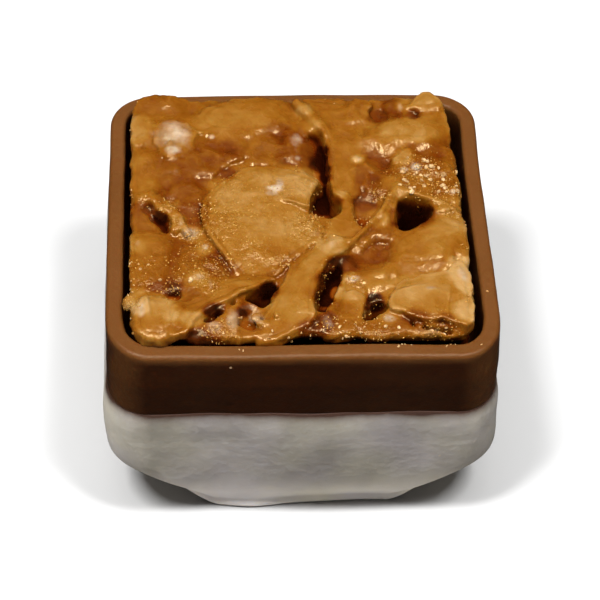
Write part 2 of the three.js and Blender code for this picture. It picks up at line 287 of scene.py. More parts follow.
def paint(piece, name, values):
    """Stores a value at each of a piece's points, for its material."""
    layer = piece.data.attributes.new(name, "FLOAT", "POINT")
    layer.data.foreach_set("value", np.asarray(values, np.float32))


# ---------------------------------------------------------------- the topping's parts

# Places on the topping are drawn where a line of sight from the front, at about 45 degrees, meets a plane
# 1.2 mm above the rim. A feature's own height then moves it by this much per millimetre.
DRAWN_AT, LEAN = 1.2, 0.97

# The almond flakes that are pieces of their own. Each has its outline, the height of its top above the rim,
# how far that stands above the caramel round it, its slopes to the right and to the back, how fast it droops
# both ways, its thickness, the rounding of its edge, how far the caramel climbs it, and its bumps: place,
# height and reach. A fold is a step along a line: its two ends and its rise, on the left of the line. Where
# smooth is False, the outline keeps its corners.
FLAKES = {
    "flake_heart": dict(
        outline=[(-6.95, -0.4), (-6.7, 1.1), (-6.0, 2.3), (-5.0, 3.4), (-3.7, 4.3), (-2.2, 4.6), (-0.8, 4.2),
                 (0.4, 3.7), (1.2, 3.2), (2.0, 2.55), (1.55, 1.8), (1.0, 1.0), (0.85, 0.1), (0.95, -0.6),
                 (1.4, -1.3), (1.6, -2.0), (1.35, -2.8), (0.6, -3.7), (-0.2, -4.4), (-1.0, -5.1),
                 (-1.8, -5.9), (-2.8, -6.3), (-4.0, -6.1), (-4.8, -5.4), (-5.4, -4.4), (-6.1, -3.0),
                 (-6.7, -1.8)],
        top=1.62, step=0.34, slope=(0.0, 0.03), droop=(0.006, 0.008), thick=1.0, edge=0.14, blend=0.3,
        folds=[(-2.2, 1.1, 1.3, -0.1, 0.22)],
        bumps=[(-6.4, -1.0, 0.1, 1.2), (-1.2, 2.2, 0.08, 1.4), (1.2, 2.0, 0.2, 1.0), (-4.0, -5.8, -0.38, 1.7),
               (-1.8, -5.6, -0.22, 1.2), (1.0, -2.0, 0.1, 1.0), (-2.6, -0.6, -0.05, 1.5),
               (0.5, -0.2, -0.2, 0.9)],
    ),
    "flake_curl": dict(
        outline=[(0.6, -4.2), (1.5, -3.4), (2.4, -3.0), (3.4, -3.1), (3.6, -3.6), (2.7, -4.6), (2.1, -5.2),
                 (1.5, -6.0), (1.1, -7.0), (0.8, -8.2), (0.7, -9.4), (0.7, -10.2), (0.3, -10.9),
                 (-0.6, -11.4), (-1.8, -11.9), (-3.2, -12.0), (-3.4, -11.0), (-2.6, -9.6), (-1.9, -8.2),
                 (-1.4, -7.0), (-0.8, -5.6)],
        top=1.3, step=0.3, slope=(0.10, 0.05), droop=(0.03, 0.006), thick=1.0, edge=0.2, blend=0.36,
        bumps=[(2.2, -3.9, 0.2, 0.9), (1.3, -5.4, 0.18, 0.8), (0.5, -7.4, 0.18, 0.8), (0.2, -9.4, 0.14, 0.9)],
    ),
    "flake_slope": dict(
        outline=[(-9.4, -10.2), (-8.4, -9.2), (-7.0, -8.4), (-5.9, -7.2), (-4.8, -6.6), (-3.2, -6.5),
                 (-1.8, -6.7), (-2.5, -7.3), (-3.3, -7.9), (-4.2, -8.1), (-5.1, -8.85), (-6.1, -9.35),
                 (-6.9, -10.0), (-7.6, -10.9), (-8.1, -11.9), (-9.2, -12.0)],
        top=1.2, step=0.24, slope=(0.02, -0.04), droop=(0.004, 0.01), thick=0.7, edge=0.12, blend=0.34,
        bumps=[(-7.4, -10.7, 0.14, 0.9), (-5.2, -8.8, 0.08, 0.8), (-3.0, -7.4, 0.06, 0.8)],
    ),
    "flake_tongue": dict(
        outline=[(0.0, 11.2), (0.5, 10.2), (1.1, 9.3), (1.7, 8.3), (2.05, 7.2), (2.2, 5.8), (2.2, 4.4),
                 (2.2, 2.6), (2.4, 1.7), (2.9, 1.15), (3.8, 1.2), (4.4, 1.9), (4.6, 3.4), (5.0, 5.2),
                 (5.4, 7.2), (5.4, 9.5), (4.6, 11.2), (2.6, 11.6), (0.7, 11.7)],
        top=1.55, step=0.14, slope=(-0.02, 0.03), droop=(0.02, 0.004), thick=0.6, edge=0.16, blend=0.3,
        bumps=[(0.7, 10.4, 0.25, 0.8), (1.5, 8.6, 0.16, 0.8), (2.8, 2.0, 0.1, 0.8), (3.9, 8.0, -0.1, 1.6),
               (3.3, 5.6, -0.08, 1.0), (2.8, 4.0, 0.06, 0.7)],
    ),
    "flake_arch_left": dict(
        outline=[(3.5, -3.4), (4.2, -2.6), (5.0, -1.4), (5.7, -0.2), (6.2, 0.8), (6.8, 1.9), (7.4, 2.1),
                 (7.6, 1.4), (7.2, 0.6), (6.95, -0.2), (6.85, -1.2), (6.9, -2.2), (6.3, -2.9), (5.2, -3.3),
                 (4.4, -3.9)],
        top=1.5, step=0.3, slope=(-0.02, 0.10), droop=(0.05, 0.0), thick=1.1, edge=0.2, blend=0.36,
        bumps=[(6.7, 1.4, 0.14, 0.7), (6.7, -1.6, -0.25, 0.8)],
    ),
    "flake_arch_right": dict(
        outline=[(7.1, 2.1), (8.1, 1.8), (9.3, 1.3), (10.5, 0.6), (11.3, -0.2), (11.7, -1.2), (11.5, -2.3),
                 (10.2, -2.0), (9.5, -1.0), (9.4, 0.1), (8.6, 0.8), (7.4, 0.8)],
        top=1.5, step=0.2, slope=(-0.05, 0.12), droop=(0.02, 0.0), thick=0.9, edge=0.24, blend=0.34,
        bumps=[(7.6, 1.6, 0.1, 0.7)],
    ),
    "flake_right": dict(
        outline=[(6.3, -3.6), (7.2, -2.5), (8.4, -1.9), (9.4, -1.6), (10.6, -1.5), (11.6, -1.9), (11.5, -2.9),
                 (10.8, -3.4), (10.4, -4.6), (10.1, -5.4), (8.6, -5.7), (7.0, -5.6), (6.5, -4.9)],
        top=1.3, step=0.02, slope=(0.05, 0.02), droop=(0.018, 0.035), thick=0.9, edge=0.28, blend=0.9,
        bumps=[(7.4, -2.6, -0.15, 0.9), (9.4, -4.5, 0.1, 0.7), (10.6, -2.4, 0.1, 0.8)],
    ),
    "flake_front_right": dict(
        outline=[(5.65, -9.0), (5.9, -8.3), (6.4, -7.6), (6.9, -7.0), (7.8, -6.9), (8.25, -6.55), (9.2, -6.4),
                 (10.2, -6.2), (10.35, -5.8), (10.8, -5.3), (11.2, -5.3), (11.55, -6.2), (11.65, -8.0),
                 (11.65, -9.6), (11.5, -10.8), (11.0, -11.35), (10.2, -11.15), (9.5, -10.7), (9.1, -10.85),
                 (8.2, -10.75), (7.4, -10.5), (6.8, -10.0), (6.1, -9.7)],
        top=1.42, step=0.42, slope=(0.03, 0.03), droop=(0.008, 0.010),
        thick=1.1, edge=0.12, smooth=False, blend=0.2,
        folds=[(9.6, -11.4, 10.0, -8.6, 0.14), (9.6, -7.3, 6.6, -8.2, 0.1)],
        bumps=[(7.2, -8.4, 0.12, 1.0), (8.3, -7.6, -0.1, 0.5), (10.6, -6.2, 0.08, 0.6),
               (9.6, -9.4, -0.12, 0.7), (10.2, -7.6, -0.08, 0.5), (8.9, -8.3, 0.06, 0.4)],
    ),
    "flake_front_left": dict(
        outline=[(-11.55, -9.6), (-11.1, -8.7), (-10.6, -8.4), (-10.1, -8.55), (-9.3, -8.8), (-8.6, -9.05),
                 (-8.7, -9.4), (-8.75, -10.2), (-8.7, -11.3), (-9.1, -12.0), (-10.0, -12.25), (-11.0, -12.1),
                 (-11.6, -11.2)],
        top=1.12, step=0.2, slope=(0.0, 0.05), droop=(0.03, 0.045),
        thick=0.9, edge=0.2, smooth=False, blend=0.6,
        folds=[(-10.4, -11.4, -10.8, -8.3, 0.14)],
        bumps=[(-11.1, -9.2, 0.14, 0.6), (-9.3, -9.2, 0.08, 0.5)],
    ),
    "flake_left": dict(
        outline=[(-11.7, 5.6), (-11.0, 6.4), (-10.2, 6.0), (-9.7, 4.4), (-9.4, 2.8), (-9.6, 1.5),
                 (-10.3, 0.8), (-11.0, 0.7), (-11.7, 1.1), (-11.9, 3.4)],
        top=1.36, step=0.12, slope=(-0.03, 0.02), droop=(0.03, 0.004), thick=0.6, edge=0.3, blend=0.4,
        bumps=[(-11.0, 1.4, 0.08, 0.7), (-10.3, 3.6, -0.08, 0.9)],
    ),
    "flake_low_left": dict(
        outline=[(-12.0, -2.9), (-11.2, -2.3), (-9.9, -2.4), (-9.2, -3.4), (-9.1, -4.8), (-9.4, -6.0),
                 (-9.5, -7.0), (-10.2, -7.7), (-11.4, -8.0), (-11.9, -6.6), (-12.0, -4.6)],
        top=1.12, step=0.1, slope=(0.0, 0.03), droop=(0.03, 0.006), thick=0.6, edge=0.3, blend=0.5,
        bumps=[(-11.4, -3.4, 0.1, 0.7), (-10.2, -5.5, -0.05, 0.8)],
    ),
    "flake_crystal": dict(
        outline=[(-8.9, -4.3), (-8.0, -3.6), (-6.8, -3.5), (-6.0, -4.4), (-5.5, -5.3), (-5.4, -6.2),
                 (-5.9, -7.2), (-6.5, -8.2), (-7.4, -8.0), (-8.2, -7.2), (-8.9, -6.1)],
        top=1.14, step=0.12, slope=(0.02, -0.03), droop=(0.03, 0.012), thick=0.9, edge=0.3, blend=0.4,
        bumps=[(-7.3, -6.6, 0.14, 0.7), (-6.2, -5.4, 0.1, 0.6), (-7.6, -4.9, -0.12, 0.8),
               (-6.4, -7.6, 0.1, 0.5)],
    ),
    "flake_back_left": dict(
        outline=[(-7.0, 9.4), (-6.6, 10.6), (-5.2, 11.3), (-3.0, 11.6), (-1.0, 11.5), (-0.4, 10.4),
                 (-0.8, 9.3), (-1.7, 8.4), (-3.4, 7.9), (-5.2, 8.0), (-6.4, 8.5)],
        top=1.6, step=0.08, slope=(0.01, 0.0), droop=(0.008, 0.012), thick=0.7, edge=0.34, blend=0.9,
        bumps=[(-4.6, 8.6, 0.05, 0.9), (-2.0, 9.8, 0.05, 1.2)],
    ),
    "flake_pale": dict(
        outline=[(-10.3, 8.7), (-9.8, 9.4), (-8.9, 9.5), (-8.0, 9.2), (-7.3, 8.5), (-7.15, 7.7), (-7.7, 7.1),
                 (-7.5, 6.6), (-8.1, 6.0), (-8.8, 5.35), (-9.4, 5.6), (-9.9, 6.2), (-10.3, 7.2)],
        top=1.72, step=0.2, slope=(0.0, 0.03), droop=(0.03, 0.01),
        thick=0.95, edge=0.12, smooth=False, blend=0.34,
        bumps=[(-9.1, 6.2, 0.16, 0.5), (-9.8, 8.8, 0.1, 0.6), (-7.7, 7.7, 0.08, 0.5), (-8.4, 7.6, -0.1, 0.5)],
    ),
    "flake_back_right": dict(
        outline=[(5.1, 7.3), (5.8, 8.3), (6.6, 8.9), (8.1, 9.0), (9.3, 9.1), (10.1, 8.6), (10.0, 7.4),
                 (9.75, 6.9), (8.9, 6.85), (7.9, 7.0), (6.4, 6.85), (5.5, 6.9)],
        top=1.76, step=0.08, slope=(0.01, 0.02), droop=(0.012, 0.012),
        thick=1.0, edge=0.34, smooth=False, blend=1.3,
        bumps=[(8.4, 7.2, 0.05, 1.0)],
    ),
    "flake_corner": dict(
        outline=[(8.2, 10.8), (8.6, 11.5), (9.3, 12.1), (9.9, 12.4), (10.6, 12.0), (11.0, 11.3), (10.8, 10.8),
                 (9.6, 10.6)],
        top=2.05, step=0.45, slope=(0.03, 0.16), droop=(0.04, 0.0), thick=0.8, edge=0.24, blend=0.3, bumps=[],
    ),
}

# Smaller chips, which the caramel runs over: outline, height of the top, slopes and thickness.
CHIPS = [
    ([(-8.0, 5.4), (-6.4, 5.7), (-4.6, 5.1), (-3.7, 4.6), (-4.6, 4.0), (-6.2, 3.6), (-7.8, 4.0)],
     1.4, (-0.03, 0.08), 0.5),
    ([(-6.6, 7.2), (-5.4, 7.7), (-4.4, 7.4), (-3.6, 6.2), (-4.2, 5.2), (-5.8, 5.6), (-6.8, 6.4)],
     1.4, (0.03, -0.08), 0.5),
    ([(-3.2, 6.8), (-2.2, 7.4), (-1.0, 6.8), (-0.9, 5.2), (-2.0, 4.6), (-3.4, 5.2)], 1.4, (0.02, -0.03), 0.5),
    ([(-0.6, 7.2), (-0.2, 8.5), (0.5, 8.5), (0.8, 7.0), (0.6, 5.4), (0.2, 4.7), (-0.4, 5.4)],
     1.3, (-0.3, 0.06), 0.6),
    ([(2.9, 1.2), (3.9, 1.2), (4.05, 0.2), (4.0, -0.9), (4.3, -1.9), (3.9, -2.7), (3.0, -3.2), (2.2, -2.9),
      (1.9, -2.2), (2.2, -1.3), (2.8, -0.4), (3.0, 0.4)], 1.36, (-0.04, 0.04), 0.7),
    ([(4.4, 5.0), (5.4, 4.6), (6.4, 3.2), (7.2, 2.2), (6.4, 1.8), (5.3, 1.9), (4.5, 3.0)],
     1.42, (0.06, 0.04), 0.5),
    ([(6.9, 5.0), (7.5, 5.7), (8.15, 6.0), (8.25, 5.0), (7.6, 4.6)], 1.7, (0.1, 0.08), 0.4),
    ([(6.4, 3.6), (8.6, 4.9), (10.9, 4.4), (11.3, 1.6), (10.4, 0.9), (8.6, 1.8), (7.2, 2.2)],
     1.46, (-0.02, 0.03), 0.6),
    ([(8.6, 6.2), (11.0, 6.2), (11.1, 4.2), (9.4, 3.8)], 1.46, (0.0, 0.02), 0.6),
    ([(9.2, 8.2), (9.4, 10.4), (11.0, 10.6), (11.3, 9.0), (11.2, 7.4), (10.0, 7.4)],
     1.66, (-0.03, 0.05), 0.6),
    ([(3.9, 9.4), (4.4, 11.2), (5.6, 11.4), (5.6, 10.4), (5.2, 9.2)], 1.66, (0.0, 0.05), 0.5),
    ([(6.8, 9.4), (7.2, 11.2), (8.4, 11.4), (8.6, 10.2), (8.2, 9.2)], 1.5, (0.0, 0.02), 0.5),
    ([(10.9, -3.2), (11.5, -3.5), (11.75, -4.3), (11.5, -5.0), (10.9, -4.7), (10.6, -3.9)],
     1.1, (-0.1, 0.0), 0.5),
    ([(4.0, -6.4), (5.2, -6.1), (6.0, -6.3), (5.9, -7.3), (5.0, -7.9), (4.2, -7.8)], 1.0, (-0.02, 0.05), 0.7),
    ([(2.9, -8.7), (3.5, -8.3), (4.1, -8.8), (4.1, -9.8), (3.8, -11.0), (3.0, -11.6), (2.7, -10.4)],
     0.85, (0.0, 0.1), 0.7),
    ([(1.6, -10.6), (2.6, -10.6), (3.2, -11.6), (2.9, -12.3), (1.6, -12.4), (1.1, -11.6)],
     0.5, (0.0, 0.1), 0.7),
    ([(4.2, -10.9), (5.6, -11.0), (7.0, -11.5), (9.0, -11.7), (10.8, -11.8), (10.4, -12.3), (6.0, -12.4),
      (4.2, -12.3)],
     0.5, (0.0, 0.05), 0.6),
    ([(-7.0, -11.6), (-5.4, -11.8), (-3.6, -11.7), (-2.4, -12.1), (-3.6, -12.5), (-6.4, -12.6),
      (-8.0, -12.3)], 0.55, (0.0, 0.06), 0.7),
    ([(-12.0, 9.2), (-11.2, 9.8), (-10.5, 9.2), (-10.6, 7.6), (-11.4, 6.8), (-12.0, 7.6)],
     1.5, (-0.05, 0.03), 0.7),
    ([(-9.6, 4.6), (-8.4, 5.0), (-7.6, 4.0), (-7.8, 2.6), (-8.8, 2.2), (-9.4, 3.2)], 1.3, (0.0, 0.04), 0.5),
    ([(-9.0, 2.0), (-7.6, 2.6), (-6.9, 1.4), (-7.2, 0.2), (-8.4, 0.4)], 1.22, (0.06, 0.0), 0.5),
]

# Thin ridges and rolled edges of caramel: points with their heights, and a radius.
RIDGES = [
    ([(0.2, 11.2, 1.72), (0.75, 10.3, 1.65), (1.3, 9.5, 1.56), (1.8, 8.6, 1.45), (2.2, 7.7, 1.34)], 0.34),
    ([(2.15, 6.4, 1.4), (2.2, 5.0, 1.36), (2.22, 3.6, 1.36), (2.32, 2.3, 1.38), (2.7, 1.5, 1.38),
      (3.4, 1.35, 1.34)], 0.14),
    ([(3.5, -3.4, 1.4), (4.4, -2.3, 1.46), (5.3, -1.0, 1.5), (5.9, -0.1, 1.56), (6.5, 1.1, 1.68),
      (7.1, 1.9, 1.76)], 0.17),
    ([(7.1, 1.9, 1.76), (8.0, 1.5, 1.74), (9.0, 1.1, 1.68), (10.0, 0.6, 1.58), (10.8, 0.0, 1.45),
      (11.3, -0.7, 1.35)], 0.13),
    ([(-10.5, 1.3, 1.25), (-10.2, 0.6, 1.2), (-9.8, 0.1, 1.18), (-9.3, -0.4, 1.14), (-8.9, -1.1, 1.08),
      (-8.9, -2.0, 0.95)], 0.4),
    ([(-9.9, 1.1, 1.3), (-9.2, 0.3, 1.3), (-8.6, -0.7, 1.24), (-8.2, -1.7, 1.14), (-7.9, -2.5, 1.02)], 0.26),
    ([(5.0, 4.4, 1.45), (5.6, 3.6, 1.46), (6.3, 3.0, 1.5), (7.0, 2.2, 1.66)], 0.13),
    ([(3.3, -3.4, 1.42), (2.5, -3.3, 1.42), (2.0, -3.9, 1.42), (1.8, -4.9, 1.38), (1.4, -5.8, 1.28),
      (1.0, -6.8, 1.2), (0.75, -7.9, 1.05), (0.6, -9.1, 0.92), (0.6, -10.0, 0.75)], 0.17),
    ([(-8.2, -11.9, 0.85), (-7.8, -11.0, 1.0), (-7.1, -10.2, 1.1), (-6.2, -9.4, 1.15), (-5.1, -8.8, 1.2),
      (-4.2, -8.05, 1.25), (-3.2, -7.85, 1.2), (-2.4, -7.2, 1.15)], 0.13),
    ([(4.0, -7.4, 0.75), (4.8, -6.9, 0.95), (5.6, -6.7, 0.95)], 0.22),
    ([(2.45, -7.8, 0.6), (2.3, -8.4, 0.6), (2.2, -9.0, 0.45)], 0.16),
    ([(1.3, -10.8, 0.3), (1.6, -11.5, 0.25), (1.8, -12.3, 0.1)], 0.16),
    ([(-6.6, 0.6, 1.52), (-6.85, -0.5, 1.54), (-6.5, -1.8, 1.5), (-6.0, -3.1, 1.42), (-5.4, -4.3, 1.3),
      (-5.0, -5.0, 1.2)], 0.1),
    ([(6.0, -0.8, 1.4), (6.15, -1.2, 1.36), (5.9, -1.6, 1.3)], 0.09),
    ([(-5.6, -11.2, 0.7), (-5.65, -11.8, 0.6), (-5.5, -12.4, 0.45)], 0.16),
    ([(-9.3, 5.5, 1.6), (-9.2, 6.3, 1.74), (-9.1, 7.0, 1.76)], 0.1),
]

# Rounded lumps: place, height and the three half sizes.
LUMPS = [
    (-9.9, 11.2, 1.2, 1.5, 1.0, 0.5), (6.2, -6.2, 0.85, 0.5, 0.9, 0.3), (-6.1, 7.6, 1.5, 0.28, 0.22, 0.2),
    (-6.9, 8.1, 1.58, 0.22, 0.18, 0.16), (-7.15, 5.0, 1.4, 0.12, 0.14, 0.12),
    (-8.7, 3.9, 1.32, 0.26, 0.32, 0.16), (-6.7, 3.9, 1.34, 0.34, 0.22, 0.16),
    (4.4, 5.1, 1.5, 0.34, 0.2, 0.16), (8.6, 4.3, 1.62, 0.32, 0.4, 0.26), (7.7, 4.0, 1.58, 0.34, 0.24, 0.18),
    (11.1, 1.7, 1.45, 0.24, 0.24, 0.2), (9.9, 4.0, 1.55, 0.45, 0.45, 0.2),
    (5.5, 10.7, 1.62, 0.34, 0.36, 0.16), (4.7, 11.0, 1.64, 0.38, 0.44, 0.18),
    (7.9, 10.5, 1.58, 0.22, 0.55, 0.14), (1.5, -0.9, 0.6, 0.34, 0.28, 0.24),
    (-1.95, -10.4, 0.98, 0.15, 0.22, 0.12), (5.75, -10.8, 0.45, 0.5, 0.5, 0.35),
    (-4.9, -10.9, 0.62, 0.42, 0.95, 0.35), (-6.3, -11.4, 0.45, 0.55, 0.42, 0.35),
    (-3.3, -10.6, 0.72, 0.4, 0.45, 0.25), (-2.7, -11.2, 0.62, 0.4, 0.24, 0.2),
    (3.5, -7.0, 0.6, 0.5, 0.35, 0.3), (-12.0, -9.2, 0.4, 0.4, 0.6, 0.5), (8.2, -11.9, 0.3, 1.2, 0.35, 0.35),
    (3.5, -8.6, 0.82, 0.4, 0.3, 0.25), (-11.2, -3.4, 1.05, 0.25, 0.5, 0.12), (9.3, 1.9, 1.5, 0.3, 0.25, 0.14),
    (10.3, 2.6, 1.48, 0.25, 0.25, 0.14), (8.9, 2.9, 1.5, 0.2, 0.22, 0.14), (10.2, -0.2, 1.5, 0.3, 0.22, 0.14),
]

# Hollows between the flakes: outline at the top, how far it narrows per mm of depth, its floor in its middle,
# how that falls to the right and to the back, and the rounding of its edge.
HOLLOWS = [
    ([(-5.3, -9.4), (-4.6, -8.5), (-3.9, -8.15), (-3.2, -7.68), (-2.6, -7.05), (-1.7, -6.87), (-1.7, -7.4),
      (-2.1, -8.0), (-2.3, -8.65), (-2.7, -9.1), (-3.3, -8.75), (-4.1, -8.75), (-4.6, -9.05), (-5.1, -9.5)],
     0.05, -2.4, (0, 0), 0.2),
    ([(4.15, -9.3), (4.75, -8.8), (5.4, -8.6), (5.75, -8.8), (5.75, -9.4), (5.4, -9.85), (4.9, -10.15),
      (4.4, -10.5), (4.0, -10.7), (3.9, -10.3), (4.1, -9.85)], 0.1, -1.9, (0, 0), 0.2),
    ([(7.0, -0.2), (7.15, 0.4), (7.6, 0.75), (8.2, 0.8), (9.0, 0.5), (9.4, 0.0), (9.4, -0.6), (9.1, -1.1),
      (8.6, -1.4), (8.2, -1.9), (7.6, -2.1), (7.05, -1.9), (6.9, -1.0)], 0.05, -2.9, (0, 0), 0.3),
    ([(1.0, 7.7), (1.75, 7.7), (2.05, 7.0), (2.2, 6.0), (2.2, 4.7), (2.25, 3.7), (2.3, 2.4), (2.45, 1.3),
      (2.9, 0.6), (2.85, -0.3), (2.3, -0.8), (1.7, -0.75), (1.2, -0.6), (0.9, -0.3), (0.9, 0.5), (1.05, 1.5),
      (1.75, 2.6), (1.3, 3.4), (0.6, 4.2), (0.5, 5.1), (0.6, 6.5)], 0.1, 0.05, (-0.85, 0.1), 0.5),
    ([(-10.75, 0.55), (-10.4, 0.45), (-10.3, -0.15), (-9.95, -0.4), (-9.5, -0.6), (-9.2, -1.2), (-9.2, -1.8),
      (-9.5, -2.05), (-9.85, -1.8), (-10.2, -1.2), (-10.7, -0.5), (-11.1, 0.05)],
     0.15, 0.5, (-0.5, 0.15), 0.35),
    ([(2.65, -5.0), (2.3, -5.3), (1.7, -6.1), (1.2, -7.5), (0.85, -8.7), (0.85, -9.5), (1.35, -9.7),
      (1.9, -8.8), (2.4, -7.6), (2.75, -6.4), (2.9, -5.5)], 0.1, -0.5, (0, 0), 0.4),
    ([(-9.05, -8.6), (-8.6, -8.5), (-8.2, -8.1), (-8.35, -7.8), (-8.7, -7.5), (-9.2, -7.7), (-9.6, -7.9),
      (-9.75, -8.3)],
     0.3, 0.5, (-0.3, 0), 0.35),
    ([(-6.9, -10.3), (-6.2, -9.75), (-5.5, -9.55), (-5.4, -10.0), (-6.0, -10.4), (-6.55, -10.85),
      (-7.1, -11.4), (-7.4, -11.5)],
     0.1, 0.1, (0, 0), 0.2),
    ([(5.7, 9.9), (6.1, 10.2), (6.7, 10.0), (6.9, 9.4), (6.3, 9.2)], 0.5, 1.36, (0, 0), 0.7),
    ([(10.5, -5.4), (10.8, -4.85), (11.3, -4.7), (11.4, -5.05), (10.95, -5.15), (10.6, -5.45)],
     0.2, 0.3, (0, 0), 0.2),
    ([(6.8, -10.3), (7.4, -10.5), (8.1, -10.85), (9.2, -11.0), (10.3, -11.3), (10.9, -11.6), (10.3, -11.85),
      (9.1, -11.65), (8.0, -11.35), (7.1, -11.1)], 0.1, 0.0, (0, 0), 0.2),
    ([(-4.6, -10.0), (-4.3, -9.95), (-4.2, -10.35), (-4.5, -10.45)], 0.1, 0.4, (0, 0), 0.15),
    ([(4.15, 0.8), (4.6, 0.95), (5.3, 0.75), (5.75, 0.6), (5.2, -0.5), (4.65, -1.3), (4.3, -1.5),
      (4.1, -0.8)],
     0.3, 0.95, (0, 0.2), 0.8),
    ([(-5.9, 3.1), (-5.4, 3.8), (-4.6, 4.4), (-4.0, 4.6), (-4.4, 4.0), (-5.1, 3.3), (-5.6, 2.8)],
     0.4, 1.25, (0, 0), 0.5),
    ([(4.9, -3.5), (5.5, -3.1), (6.2, -3.3), (6.1, -4.2), (5.8, -4.9), (4.9, -5.0), (4.3, -4.6), (4.4, -4.0)],
     0.5, 1.05, (0, 0), 0.9),
    ([(-7.65, -1.8), (-7.45, -1.75), (-7.4, -2.0), (-7.6, -2.1)], 0.1, 0.7, (0, 0), 0.1),
]

